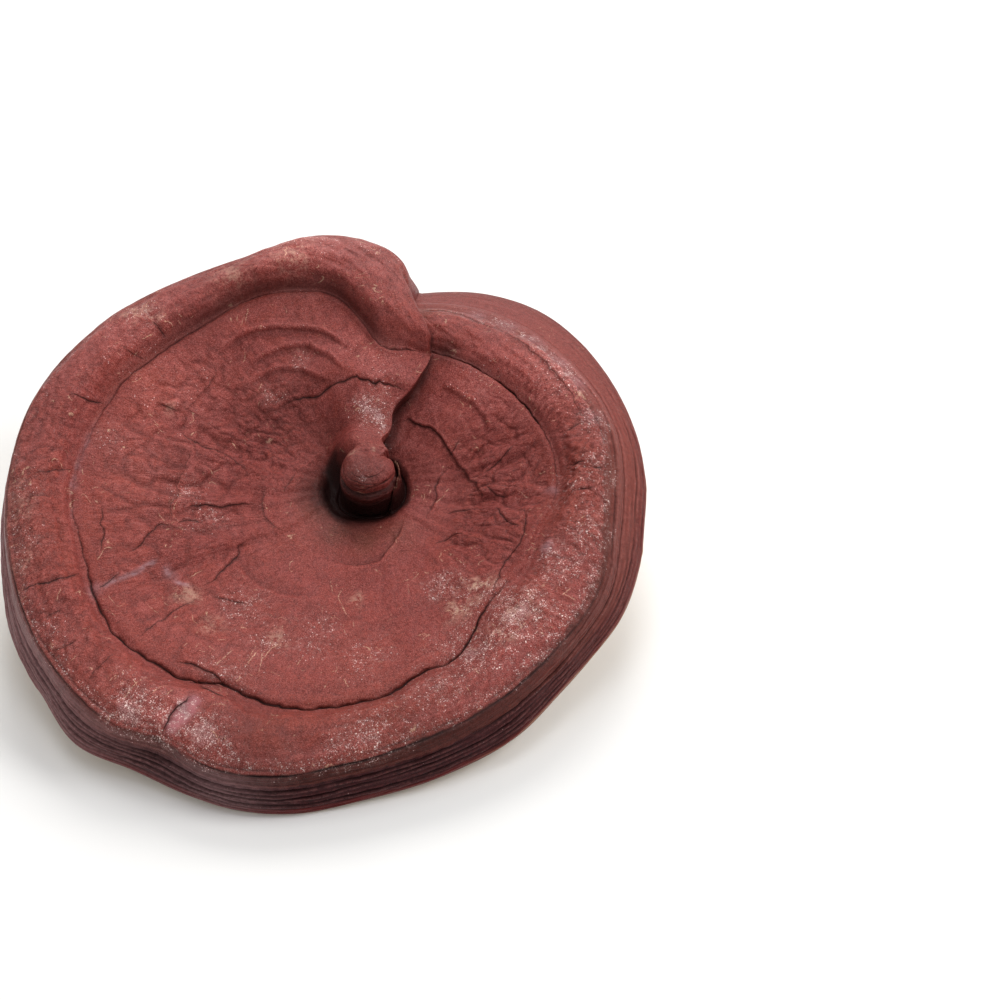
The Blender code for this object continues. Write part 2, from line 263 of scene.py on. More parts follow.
def noise(x, y, layer=0):
    """Smooth seeded noise over a plane, about -1 to 1, with features one unit wide."""
    x = x + 37.37 * layer
    y = y + 91.19 * layer
    i = np.floor(x).astype(int)
    j = np.floor(y).astype(int)
    u = x - i
    v = y - j

    def corner(di, dj):
        turn = LATTICE[(i + di) % 256, (j + dj) % 256]
        return np.cos(turn) * (u - di) + np.sin(turn) * (v - dj)

    smooth_u = u * u * u * (u * (6 * u - 15) + 10)
    smooth_v = v * v * v * (v * (6 * v - 15) + 10)
    near = corner(0, 0) + (corner(1, 0) - corner(0, 0)) * smooth_u
    far = corner(0, 1) + (corner(1, 1) - corner(0, 1)) * smooth_u
    return 1.5 * (near + (far - near) * smooth_v)


def rough(x, y, octaves, layer=0):
    """Noise with finer and fainter noise on it."""
    return sum(noise(x * 2**k, y * 2**k, layer + 7 * k) / 2**k for k in range(octaves))


def creased(x, y, layer=0):
    """Noise folded into sharp valleys between round swellings, 0 to about 1."""
    return 1 - np.abs(np.clip(1.4 * noise(x, y, layer), -1, 1))


def column_steps():
    """Degrees past the seam of each column, closer together beside the seam."""
    first = EDGE_ANGLE * (np.arange(EDGE_COLUMNS) / EDGE_COLUMNS) ** EDGE_CROWDING
    middle = np.linspace(EDGE_ANGLE, 360 - EDGE_ANGLE, COLUMNS - 2 * EDGE_COLUMNS)
    return np.concatenate([first, middle, 360 - first[::-1]])


STEPS = column_steps()
ANGLES = SEAM_ANGLE + STEPS
FLOW = np.radians(ANGLES) * FLOW_RADIUS


def seam_fade(reach=SEAM_FADE):
    """0 at both edges of the seam, 1 a little way from them."""
    return rising(STEPS / reach) * rising((360 - STEPS) / reach)


def around(middle, slope, flat=0.0):
    """1 round a clock angle, easing to 0 on both sides past the flat."""
    return fading((np.abs(ANGLES - middle) - flat) / slope)


def ring(radius_of, height_of, edge, seam=SEAM, undercut=0.0):
    """Points of one ring. Past the seam it rises from its foot on the lower lobe over a rounded edge."""
    start, end = SEAM_ANGLE, SEAM_ANGLE + 360
    for _ in range(SEAM_ROUNDS):
        start = curve(seam, radius_of(start))
        end = curve(seam, radius_of(end)) + 360 + math.degrees(undercut / radius_of(start))
    angles = ANGLES + (start - SEAM_ANGLE) * fading(STEPS / SEAM_REACH)
    angles = angles + (end - SEAM_ANGLE - 360) * fading((360 - STEPS) / SEAM_REACH)
    radii = radius_of(angles)
    past = np.radians(STEPS) * radii
    points = np.column_stack([polar(radii, angles), height_of(angles, radii, past)])
    foot = points[-1]
    return foot + (points - foot) * quarter(past / edge)[:, None]


def partway(start, end, share):
    """Radii round the clock, a share of the way from one outline to the next."""
    return lambda angles: curve(start, angles) + (curve(end, angles) - curve(start, angles)) * share


def ridge(radii, past):
    """Crest height of the ridge, and its share at a distance past the seam."""
    width = curve(RIDGE, radii)
    return curve(RIDGE, radii, 2), fading((past / width - RIDGE_STEEP) / (1 - RIDGE_STEEP)) * (past < width)


def ledge(angles, radii):
    """How far the surface lies below the ledge's upper level."""
    edge = curve(LEDGE, angles) + 0.35 * noise(angles / 3.0, 0, 3)
    drop = curve(LEDGE, angles, 2) * (angles < LEDGE[-1][0])
    return drop * fading((radii - edge) / LEDGE_SLOPE + 0.5)


def knob_ring(radius, height, neck_radius, narrow=0.0):
    past = np.radians(STEPS) * neck_radius
    crest, share = ridge(neck_radius, past)
    behind = np.radians(360 - STEPS) * neck_radius
    share = np.maximum(share, fading(behind / NECK_BEHIND) * fading((crest - height - 1.0) / NECK_BEHIND))
    share = share * (height < crest)
    radii = radius * (1 - narrow * bump((ANGLES - FRONT) / 60))
    radii = radii + (neck_radius - radii) * share
    heights = height + (crest - height) * share
    shape = ring(lambda angles: radius + 0 * angles, lambda *_: heights, STEP_ROUND_INNER)
    shape[:, :2] *= (radii / radius)[:, None]
    shape[:, 1] *= KNOB_FLAT
    shape[:, :2] += KNOB_AT
    return shape


def sheath_ring(radius, low, high, neck_radius):
    away = (ANGLES - SHEATH_MIDDLE) / SHEATH_HALF
    ragged = 1 + 0.2 * rough(STEPS / 9, 0, 2, 5)
    heights = low + (high - low) * fading(np.abs(away) ** 3) * ragged * (away < 1)
    return knob_ring(radius, heights, neck_radius, SHEATH_NARROW)


def bowl_ring(share, height):
    """A ring of the bowl. The inner ones follow the pit, which lies a little off the axis."""

    def height_of(angles, radii, past):
        wave = folds(BOWL_FOLDS, angles) * curve(FOLDED, angles) * math.sin(math.pi * share)
        heights = height + 0.6 * curve(LIFT, angles) * share + wave
        crest, ridged = ridge(radii, past)
        heights = heights + notch(angles) * bump((share - 1) / 0.03)
        return heights + np.maximum(crest - heights, 0) * ridged - ledge(angles, radii) * min(1, 3 * share)

    shape = ring(partway(PIT_EDGE, GROOVE, share), height_of, STEP_ROUND_INNER, undercut=UNDERCUT)
    shape[:, :2] += np.array(PIT_AT) * fading(share / PIT_SHARE)
    return shape


def notch(angles):
    """How much of the groove's notch is filled: all of it where its crack is closed."""
    return 0.9 - 0.6 * curve([(a, min(d, 1)) for a, d, _ in GROOVE_CRACK], angles)


def roll_ring(share, height):
    def height_of(angles, _radii, _past):
        wave = folds(ROLL_FOLDS, angles) * math.sin(math.pi * share)
        return height + curve(LIFT, angles) * (0.6 + 0.4 * min(1, 4 * share)) + wave

    return ring(partway(GROOVE, SHOULDER, share), height_of, STEP_ROUND, undercut=UNDERCUT * (1 - share))


def rim_ring(share, drop):
    def height_of(angles, _radii, _past):
        return ROLL[-1][1] - drop * curve(RIM_DEPTH, angles) + curve(LIFT, angles) * (1 - 0.2 * share)

    return ring(partway(SHOULDER, LIP, share), height_of, STEP_ROUND)


def underside_ring(share, height):
    def radius_of(angles):
        lip = curve(LIP, angles)
        return lip + (STEM_FOOT[0] - lip) * share

    def height_of(angles, _radii, _past):
        shallow = (1 - curve(RIM_DEPTH, angles)) * RIM[-1][1] * (1 - share)
        return height + shallow + 0.8 * curve(LIFT, angles) * (1 - share) ** 1.5

    return ring(radius_of, height_of, STEP_ROUND, UNDERSIDE_SEAM)


def stem_ring(share, radius):
    """A ring of the stem stub: the one at share 1 lies in the level cut."""
    radii = radius + folds(STEM_LUMPS, ANGLES) * min(1, radius / 10)
    x_y = polar(radii, ANGLES) + np.array(STEM_LEAN) * share
    cut = CUT_CENTRE[2] - (x_y[:, 1] - CUT_CENTRE[1]) * math.tan(CAP_TILT)
    return np.column_stack([x_y, STEM_FOOT[1] + (cut - STEM_FOOT[1]) * share])


class Sheet:
    """Fine rows between rings: across is a row's distance along the skin, label its place in the sections."""

    def __init__(self, rings, labels, spacing):
        stack = np.stack(rings)
        gaps = np.linalg.norm(np.diff(stack, axis=0), axis=2).mean(axis=1)
        at = np.concatenate([[0], np.cumsum(gaps)])
        counts = [max(1, round(gap / step)) for gap, step in zip(gaps, spacing)]
        index = np.append(np.repeat(np.arange(len(counts)), counts), len(counts) - 1)
        t = np.append(np.concatenate([np.arange(count) / count for count in counts]), 1.0)
        slopes = np.gradient(stack, at, axis=0)
        gap = gaps[index][:, None, None]
        ends = (stack[index], stack[index + 1], gap * slopes[index], gap * slopes[index + 1])
        self.points = between(*ends, t[:, None, None])
        labels = np.array(labels, float)
        self.label = (labels[index] + (labels[index + 1] - labels[index]) * t)[:, None]
        self.across = (at[index] + gaps[index] * t)[:, None]
        self.shape = self.points.shape[:2]
        self.marks = {}

    def row(self, label):
        """The first row from a label on."""
        return int(np.searchsorted(self.label[:, 0], label))

    def noise(self, length, layer, octaves=1):
        """Noise over the cap's plane, with features of a length."""
        return rough(self.points[..., 0] / length, self.points[..., 1] / length, octaves, layer)

    def top(self):
        """Which points are on the bowl or the rolled margin."""
        return np.broadcast_to((self.label > BOWL_LABEL) & (self.label < RIM_LABEL), self.shape)

    def drop(self):
        """Drop below the shoulder, which the label gives."""
        return (self.label - RIM_LABEL) * RIM[-1][1]

    def below_shoulder(self):
        """The drop on the rim, and on the rolled margin the distance from the shoulder, below 0."""
        return np.where(self.drop() < 0, self.across - self.across[self.row(RIM_LABEL)], self.drop())

    def normals(self):
        """Outward direction at each point. The two edges of the seam keep their own."""
        normal = np.cross(np.gradient(self.points, axis=0), np.gradient(self.points, axis=1))
        return normal / np.maximum(np.linalg.norm(normal, axis=2, keepdims=True), 1e-12)

    def raise_by(self, height):
        self.points = self.points + self.normals() * height[..., None]

    def mark(self, name, value):
        """Where a finish, or painted light and shade, goes, from 0 to 1: the strongest of what it is given.
        """
        self.marks[name] = np.clip(np.maximum(self.marks.get(name, np.zeros(self.shape)), value), 0, 1)


def turn_to_part(directions):
    """From the cap's frame to the part's, which is level."""
    y = directions[..., 1] * math.cos(CAP_TILT) - directions[..., 2] * math.sin(CAP_TILT)
    z = directions[..., 1] * math.sin(CAP_TILT) + directions[..., 2] * math.cos(CAP_TILT)
    return np.stack([directions[..., 0], y, z], axis=-1)


def to_part(points):
    """From the cap's frame in millimetres to the part's in metres, and not below the ground."""
    moved = turn_to_part(points - CUT_CENTRE)
    moved[..., 2] = np.maximum(moved[..., 2], 0)
    return moved * MM


# --- Reliefs on the skin ------------------------------------------------------------------------------------

# Cracks on the bowl and the rolled margin: depth, half width, step up on the left of the direction of travel,
# and the points they run through, in the cap's frame.
CRACKS = (
    # across the upper lobe's ridge
    (0.9, 0.35, 0, ((-26.4, 23.6), (-22.8, 25.1), (-19.6, 25.9), (-16.3, 26.1), (-14, 25.9), (-12.1, 27),
        (-9.8, 27.9), (-7, 28.3), (-4.2, 28.6), (-2, 28), (0.3, 27.2), (3.1, 27.1), (5.8, 26.2), (7.9, 25),
        (9.6, 23.8))),
    # right of the seam, then a fold round the pit
    (0.7, 0.38, 0.9, ((5.6, 21.2), (8.4, 22.2), (10.3, 21), (12.1, 19.8), (14.4, 19.3), (16.3, 17.1),
        (18.2, 14.1), (19.5, 11.4), (21.4, 8.8))),
    (0.3, 0.5, 0.8, ((18.2, 14.1), (19.5, 11.4), (21.4, 8.8), (23.2, 5.1), (26, 1.3), (27.3, -1.7),
        (27.8, -4.6))),
    (0.45, 0.3, 0.3, ((19.1, 8.6), (17.3, 6), (15.5, 2), (16, -1.3), (14.3, -4.9), (13.4, -7.7))),
    (0.35, 0.35, 0.55, ((7.1, -6), (7.6, -8.7), (6.3, -12.6), (4.6, -16), (1.3, -20), (-5.6, -21.2),
        (-9.7, -18.5))),
    # right side of the bowl
    (0.4, 0.28, 0.2, ((15.4, -15.5), (18.5, -14.2), (20.7, -13.4), (23.4, -13.4))),
    (0.4, 0.28, 0.2, ((18.8, -6.4), (22.9, -5.5), (26.9, -5.5))),
    (0.5, 0.3, 0.3, ((27.3, 1.2), (28.7, 0.1), (31.3, -3.1), (34.5, -4.7))),
    (0.6, 0.3, 0.4, ((31, -6.3), (32.7, -10.5), (35.8, -14.4), (38, -14.9))),
    (0.5, 0.35, 0.4, ((27.6, 3.3), (30.5, 6), (33.2, 7.8), (35.9, 10.9))),
    (0.4, 0.35, 0.2, ((21.8, 14.6), (20.5, 12.5), (19.1, 10.9))),
    (0.5, 0.28, 0.25, ((30.2, -36.5), (31.2, -31.5), (33.3, -24.8), (35.8, -21.9), (37.3, -18.9),
        (38.3, -13.6), (37.8, -7.6))),
    # left side of the bowl
    (0.5, 0.35, 0.5, ((-54.8, 22.4), (-52.7, 21.7), (-49.8, 20.7))),
    (0.1, 0.4, 0.35, ((-49.8, 20.7), (-47, 22.9), (-44.6, 26.3), (-42, 29.3), (-41.2, 32.5), (-42.6, 35.1))),
    (0.6, 0.32, -0.3, ((-50, 16.6), (-47.4, 13.9), (-44.8, 12.7), (-42, 11.4), (-38.9, 10.6), (-35.9, 9),
        (-33.3, 6.8), (-31.5, 4.2))),
    (0.15, 0.6, 0.6, ((-44.8, 12.5), (-46.9, 6.9), (-47.5, 3.5), (-48.8, 1.2), (-48.6, -3.9), (-50, -7),
        (-49.5, -11.9))),
    (0.55, 0.32, 0.3, ((-59.1, -22.7), (-56.2, -19.2), (-54.5, -15.9), (-52.8, -13), (-50.9, -12.1),
        (-48.4, -12.9))),
    (0.5, 0.3, 0.2, ((-48.5, -11.8), (-46.6, -10.3), (-44.5, -10.3), (-41.9, -10.8))),
    (0.7, 0.32, 0.4, ((-47.2, -7.4), (-43.2, -5.9), (-40.8, -5.3), (-38, -5.6), (-35.2, -4.9), (-31.1, -3.7),
        (-28.6, -4.4))),
    (0.6, 0.3, 0.3, ((-40.2, -30.4), (-38, -27.9), (-36.6, -25.2), (-34.1, -21.3), (-32.7, -18.8),
        (-32.6, -16.9), (-30.1, -14.5))),
    (0.5, 0.28, 0, ((-40.8, -33.7), (-44.1, -36.2), (-46.7, -38.5), (-49.2, -41.4), (-52, -44.3),
        (-54.5, -47.8))),
    (0.45, 0.28, 0.2, ((-38.4, -33), (-35.6, -33.6), (-31.5, -34.4), (-29.1, -34.9))),
    (0.5, 0.32, 0.2, ((-67.1, -8.7), (-66.3, -11.5), (-66.2, -14.5), (-65.4, -16.5), (-65.4, -20.6),
        (-66.1, -23.5))),
    (0.5, 0.3, 0, ((-65.5, -34.2), (-63.9, -33), (-61.9, -30.5), (-59.9, -28.7))),
    (0.3, 0.6, 0.35, ((-27.4, 2.6), (-28, -3.1), (-26.9, -6.8), (-24.5, -10), (-21.8, -11.2))),
    (0.3, 0.5, 0.2, ((-20, 6.9), (-21.2, 3.8), (-22.9, 0.7))),
    # rolled margin
    (0.7, 0.3, 0, ((-76.5, 20.8), (-75.1, 20.4), (-71.5, 19.9), (-68.2, 21.1))),
    (0.9, 0.3, 0, ((-83.9, -35.9), (-80, -35.6), (-74.8, -34.4), (-71.3, -32.5), (-69.2, -29.7))),
    (0.5, 0.3, 0, ((-83.8, -3.2), (-80.6, -2.3), (-76.5, -0.7), (-74.5, 0.7))),
    (0.45, 0.3, 0, ((-84.5, -9.8), (-80.3, -9.3), (-77.5, -9.5))),
    (0.4, 0.3, 0, ((-78.8, -45.3), (-74.7, -43.1), (-71.6, -41.3))),
    (0.4, 0.3, 0, ((-74.4, -53), (-70.8, -52.3), (-67.3, -50.4))),
    (0.4, 0.3, 0, ((-64.8, -61.7), (-62.5, -58), (-58.9, -53.3))),
    (0.6, 0.4, 0, ((-57.2, 43.1), (-55, 41), (-53.6, 40.1))),
    (0.3, 0.4, 0, ((-65, 35.8), (-62, 34.3), (-58.9, 34.4))),
    (0.5, 0.3, 0, ((48.1, 10.3), (51.2, 12.2), (52.8, 13.4))),
    (0.6, 0.3, 0, ((49.8, 0.1), (51.7, 0.3), (53.2, 0.3))),
    (0.6, 0.3, 0, ((54.7, -1.2), (57.1, -0.7), (58.4, -0.4))),
    (0.55, 0.3, 0, ((50.1, -8.7), (52.4, -7.8), (55.8, -6.9))),
    (0.12, 0.4, 0.5, ((9, 49.2), (14, 50.9), (19, 50.6), (24.3, 48.3), (28.5, 45.2), (33, 42.6))),
    (0.12, 0.4, 0.5, ((30, 45.6), (36.2, 40.2), (39.8, 35.3), (43.8, 31.6), (47.3, 25.8), (50.6, 20.4),
        (52.8, 14))),
    (0.1, 0.4, 0.5, ((14, 56.5), (20, 55.5), (27, 53), (32.4, 49.2), (36.5, 46.6))),
    (0.1, 0.4, 0.5, ((35.4, 49), (40, 43.2), (45, 38.4), (49.3, 31.5), (53, 24.5))),
    (0.9, 0.4, 0.7, ((-46.2, -75.2), (-44.4, -71.2), (-42.2, -68), (-39.4, -65.4))),
    (0.6, 0.35, 0.6, ((-45.5, -54), (-41.2, -54.6), (-37.8, -56.6), (-34.4, -58.6), (-32.1, -61.4))),
    (0.5, 0.3, 0.5, ((-42.5, -60.2), (-38.6, -59.4), (-35.6, -60.4), (-33, -61.6))),
    # folds beside the groove in front
    (0.6, 0.4, 0.3, ((-39.1, -60.6), (-36.5, -62.4), (-34.7, -64.2), (-31.6, -65.5))),
)
CRACK_REACH = 3.6  # over which a step fades away from its crack
CRACK_TAPER = 0.25  # share of a crack's length over which each end runs out
CRACK_LONG = 14.0  # from which a crack is as ragged as it gets
CRACK_CUT = 0.45  # share of its depth that is cut into the mesh
CRACK_SHADE = 0.5  # half width of the soft shade beside it
STEP_SLOPE = 0.3

# Soft terraces in the bowl, high on the outside: step, and the points they run through.
TERRACES = (
    (1.4, ((-42, 36), (-38, 40), (-33.3, 43.3), (-28.5, 44.6), (-23.6, 44.9), (-18.6, 44.3), (-14.9, 42.9),
        (-11.8, 41.1), (-8.3, 37.9), (-4, 34.5))),
    (1.1, ((-34, 34), (-29, 37.5), (-24.3, 39.5), (-20.7, 39.8), (-17.1, 39.2), (-14.7, 36.9), (-11.6, 34.7),
        (-8.4, 31.2), (-4, 30))),
    (1.0, ((-34, 28), (-30, 32), (-27.3, 33.4), (-24.2, 34), (-19.1, 32.6), (-14.5, 29.9), (-9, 28.5))),
    (0.9, ((14.8, 30.3), (19.4, 28.5), (23.1, 25.4), (26.3, 22.5), (28.8, 18), (29, 13))),
    (0.5, ((-9, -31), (-17, -32), (-25, -30), (-31, -25), (-34, -18))),
)
TERRACE_SLOPE = 1.6
TERRACE_REACH = 4.5

# Crack in the groove round the clock: angle, depth, half width.
GROOVE_CRACK = (
    (64, 0.5, 0.4), (84, 0.7, 0.4), (92, 0.35, 0.4), (105, 0.35, 0.3), (130, 0.4, 0.3), (150, 0.6, 0.3),
    (162, 0.4, 0.3), (172, 0.3, 0.3), (180, 0.15, 0.3), (186, 0.25, 0.3), (194, 0.35, 0.4), (205, 0.8, 0.36),
    (220, 1.0, 0.36), (235, 1.2, 0.36), (255, 1.3, 0.36), (285, 1.2, 0.36), (303, 1.0, 0.34),
    (311, 0.6, 0.34), (318, 0.05, 0.34), (345, 0.05, 0.34), (356, 0.3, 0.34), (370, 0.4, 0.36),
    (380, 0.8, 0.36), (415, 1.0, 0.36), (440, 0.6, 0.4),
)
GROOVE_CUT = 0.5  # share of its depth that is cut into the mesh
# How dark the skin is on either side of the groove's crack: angle, shade.
GROOVE_SHADE = (
    (64, 0.1), (84, 0.3), (95, 0.75), (110, 0.85), (135, 0.7), (155, 0.45), (175, 0.1), (210, 0.15),
    (235, 0.3), (300, 0.25), (330, 0.05), (350, 0.1), (375, 0.35), (400, 0.55), (425, 0.7), (440, 0.4),
)
FURROW_MIDDLE = 180.0  # of the pale furrow that takes the groove's place on the left
FURROW_HALF = 17.0
STEEP_MIDDLE = 115.0  # of the part of the margin that rises steeply from the groove
STEEP_HALF = 50.0

# How deep the skin is wrinkled round the clock: angle, bowl, rolled margin.
WRINKLED = (
    (64, 0.1, 0.15), (100, 0.2, 0.2), (125, 0.6, 0.35), (150, 1.0, 0.6), (175, 1.2, 1.0), (205, 0.9, 1.0),
    (235, 0.35, 0.5), (265, 0.25, 0.3), (300, 0.35, 0.4), (325, 1.0, 0.8), (345, 1.5, 1.4), (372, 1.5, 1.4),
    (392, 0.8, 0.7), (410, 0.4, 0.3), (440, 0.3, 0.2),
)
NET = (-29, 17, 12)  # net of small swellings left of the knob: x, y, reach

# Layer lines of the rim: depth below the shoulder, and how deep they are cut in front and on the right side.
LAYERS = (
    (-1.7, 0.1, 0.14), (-0.4, 0.22, 0), (0.9, 0, 0.24), (2.0, 0.06, 0), (3.0, 0, 0.14), (4.4, 0.42, 0.4),
    (5.4, 0.12, 0), (6.4, 0.32, 0.1), (7.3, 0.12, 0.28), (8.2, 0.24, 0), (9.2, 0.14, 0.14), (10.1, 0.1, 0),
)
LAYER_WIDTH = 0.2
LAYERS_START = -2.8
LAYERS_END = 10.6
LINE_DARK = 0.28  # cut depth from which a layer line is fully dark
# How dark the lines between the layers are round the clock.
LINED = (
    (64, 0.1), (90, 0.3), (130, 0.5), (180, 0.8), (215, 1), (300, 1), (330, 0.85), (350, 0.7), (375, 0.4),
    (395, 0.15), (440, 0),
)
# How deep the layers are round the clock, and how much they are as on the right side.
LAYERS_DEEP = (
    (64, 0.2), (100, 0.3), (150, 0.5), (190, 0.9), (215, 1.3), (300, 1.2), (325, 0.9), (350, 0.7), (375, 0.5),
    (395, 0.25), (440, 0.08),
)
LAYERED_SIDES = ((64, 0.4), (110, 0.2), (180, 0.0), (300, 0.0), (325, 0.6), (350, 1), (400, 1), (440, 0.8))
# How much painted shade darkens the rim round the clock: most in front, which faces away from the light.
RIM_FRONT_SHADE = (
    (64, 0), (150, 0), (200, 0.15), (222, 0.55), (240, 1), (290, 1), (312, 0.75), (335, 0.35), (360, 0.1),
    (440, 0),
)
# Cream line where the pore layer shows at the lip: depth, and its strength round the clock.
HAIRLINE_AT = 10.6
HAIRLINE = ((64, 0), (285, 0), (300, 0.5), (330, 0.9), (380, 0.9), (410, 0.3), (440, 0))
# How plain the rim is at the back.
BACK_PLAIN = ((64, 1), (80, 1), (96, 0.4), (110, 0), (365, 0), (385, 0.4), (400, 0.6), (440, 0.6))
# How dusty the shoulder is round the clock.
SHOULDER_DUST = ((64, 0.3), (180, 0.4), (240, 0.9), (290, 0.9), (325, 1.3), (350, 1.1), (440, 0.4))
RIM_END = 11.5  # depth at which the rim's finishes end

# Pale scratches in the varnish: the points they run through, in the cap's frame.
SCRATCHES = (
    ((-56.1, -67.3), (-54.6, -65.2), (-53.2, -63.1), (-49.9, -59.9)),
    ((-49.2, -65.7), (-47.5, -63.9), (-45.7, -62.3)), ((-46.4, -66.5), (-44.0, -64.1)),
    ((-25.2, -56.6), (-24.7, -53.1), (-24.9, -49.5)), ((-27.8, -52.5), (-26.4, -48.1)),
    ((-24.9, -53), (-22.8, -49), (-20.5, -46.5)), ((-26, -50), (-28.5, -55)),
    ((-35.3, -68.1), (-33.2, -67.6), (-31.3, -67.8)), ((-22.4, -55.8), (-20.0, -57.1)),
    ((-35.8, -55.2), (-33.8, -52.5), (-31.8, -49.7)), ((-59.5, -62.0), (-57.8, -60.4)),
    ((12.0, -45.4), (13.7, -45.1), (15.6, -45.7)), ((13.5, -47.0), (15.1, -45.1)),
    ((25.7, -57.7), (27.4, -59.6)), ((-16.3, -53.5), (-15.2, -51.2)),
    ((-6.5, -34), (-7.7, -31.5), (-6.6, -28.5)), ((-5.2, -37.5), (-6.6, -34)), ((-9, -30.5), (-9.8, -26)),
    ((-70, -57), (-67.5, -54.5)), ((-74, -40), (-73.2, -36.5)), ((-53, -9), (-50.5, -12)),
    ((-49.5, -8), (-48.6, -5.5)), ((-30, 28), (-29.2, 31)), ((-34, 46), (-33.4, 50)), ((-60, 38), (-57, 40)),
    ((-42, 6), (-40, 3.5)), ((36, -48), (38.4, -45.6)), ((47, -38), (49, -36)), ((52, 20), (50.6, 23)),
    ((1, -22.5), (3, -24.4)), ((8, -27), (10.5, -26)), ((-50, 58), (-46.5, 59.5)), ((-5, -58), (-3.4, -61)),
    ((-44, -27.5), (-41, -24.8)),
)
SCRATCH_WIDTH = 0.11
LINE_REACH = 3.0  # farthest distance that a thin line's field tells
LINE_CORE = 0.9  # distance from a thin line beyond which its field narrows
CREST_REACH = 4  # rows and columns round a place over which its crests and hollows are measured
# How much the relief's crests are painted lighter and its hollows darker: height scale, then strength.
CREST_HEIGHT = 0.12
CREST_LIGHT = 0.22


def towards(points, line):
    """Distance to a line, positive on its left, and the share of its length at the nearest place."""
    line = np.array(line, float)
    starts = line[:-1]
    runs = line[1:] - starts
    lengths = np.hypot(*runs.T)
    before = np.concatenate([[0], np.cumsum(lengths)])
    best = np.full(len(points), np.inf)
    side = np.ones(len(points))
    share = np.zeros(len(points))
    for start, run, length, done in zip(starts, runs, lengths, before):
        away = points - start
        t = np.clip(away @ run / length**2, 0, 1)
        gap = np.hypot(*(away - t[:, None] * run).T)
        nearer = gap < best
        best = np.where(nearer, gap, best)
        side = np.where(nearer, np.sign(run[0] * away[:, 1] - run[1] * away[:, 0]), side)
        share = np.where(nearer, (done + t * length) / before[-1], share)
    return best * side, share


def smooth_line(line, per_gap=3):
    """More points on a smooth curve through a line's own."""
    line = np.array(line, float)
    slopes = np.gradient(line, axis=0)
    t = (np.arange(per_gap) / per_gap)[:, None]
    runs = [between(*gap, t) for gap in zip(line, line[1:], slopes, slopes[1:])]
    return np.concatenate([*runs, line[-1:]])


def tapered(share, taper=CRACK_TAPER):
    """1 along a line, easing to 0 at both its ends."""
    return rising(share / taper) * rising((1 - share) / taper)


def near(plane, line, reach):
    """Which points of the sheet lie in the box round a line."""
    low = np.min(line, axis=0) - reach
    high = np.max(line, axis=0) + reach
    return np.all((plane > low) & (plane < high), axis=-1)


class Lines:
    """Fine dark lines: signed distance to the nearest, and its half width, below 0 where there is none."""

    def __init__(self, shape):
        self.away = np.full(shape, LINE_REACH)
        self.wide = np.full(shape, -1.0)

    def draw(self, where, away, wide):
        wide = np.maximum(wide - np.maximum(np.abs(away) - LINE_CORE, 0), -1)
        old_away, old_wide = self.away[where], self.wide[where]
        nearer = wide - np.abs(away) > old_wide - np.abs(old_away)
        self.away[where] = np.clip(np.where(nearer, away, old_away), -LINE_REACH, LINE_REACH)
        self.wide[where] = np.where(nearer, wide, old_wide)


def warped(plane, layers, *warps):
    """The cap's plane, warped so that a smooth line on it comes out torn. A warp is a height and a length."""
    x, y = plane[..., 0], plane[..., 1]
    moves = [
        sum(height * noise(x / length, y / length, layer + 4 * k) for k, (height, length) in enumerate(warps))
        for layer in layers
    ]
    return plane + np.stack(moves, axis=-1)


def crack_relief(plane, top, lines):
    """Height and soft shade of the cracks at places of the cap's plane."""
    height = np.zeros(plane.shape[:2])
    dark = np.zeros(plane.shape[:2])
    ragged = warped(plane, (1, 2), (0.45, 2.6), (0.16, 0.9))
    for depth, width, step, line in CRACKS:
        fine = smooth_line(line)
        inside = near(plane, fine, 3 * CRACK_REACH) & top
        warp = min(1.0, np.hypot(*np.diff(fine, axis=0).T).sum() / CRACK_LONG)
        away, share = towards((plane + warp * (ragged - plane))[inside], fine)
        ends = tapered(share)
        high = np.sign(step) * away
        side = (0.5 + 0.5 * np.tanh(high / STEP_SLOPE)) * np.exp(-np.maximum(high, 0) / CRACK_REACH)
        height[inside] += abs(step) * side * ends - CRACK_CUT * depth * bump(away / width) * ends
        strength = min(1, 0.2 + depth)
        dark[inside] = np.maximum(dark[inside], 0.5 * bump(away / CRACK_SHADE) * ends * strength)
        wide = (0.02 + 0.10 * depth) * strength * (1.25 * ends - 0.25) - 0.3 * (ends < 0.02)
        lines.draw(inside, away, wide)
    return height, dark


def draw_scratches(plane, top, scratches):
    """Broken pale lines, a little ragged."""
    ragged = warped(plane, (141, 142), (0.22, 0.8))
    for line in SCRATCHES:
        inside = near(plane, line, LINE_REACH) & top
        away, share = towards(ragged[inside], line)
        scratches.draw(inside, away, SCRATCH_WIDTH * (tapered(share, 0.2) - 0.2))


def terrace_relief(plane, top):
    height = np.zeros(plane.shape[:2])
    for step, line in TERRACES:
        fine = smooth_line(line)
        inside = near(plane, fine, 3 * TERRACE_REACH) & top
        away, share = towards(plane[inside], fine)
        rise = rising(away / TERRACE_SLOPE + 0.5) * np.exp(-np.maximum(away, 0) / TERRACE_REACH)
        height[inside] += step * rise * tapered(share)
    return height


# --- The cap's skin -----------------------------------------------------------------------------------------


def row_step(steps, share):
    return next(step for end, step in steps if share < end)


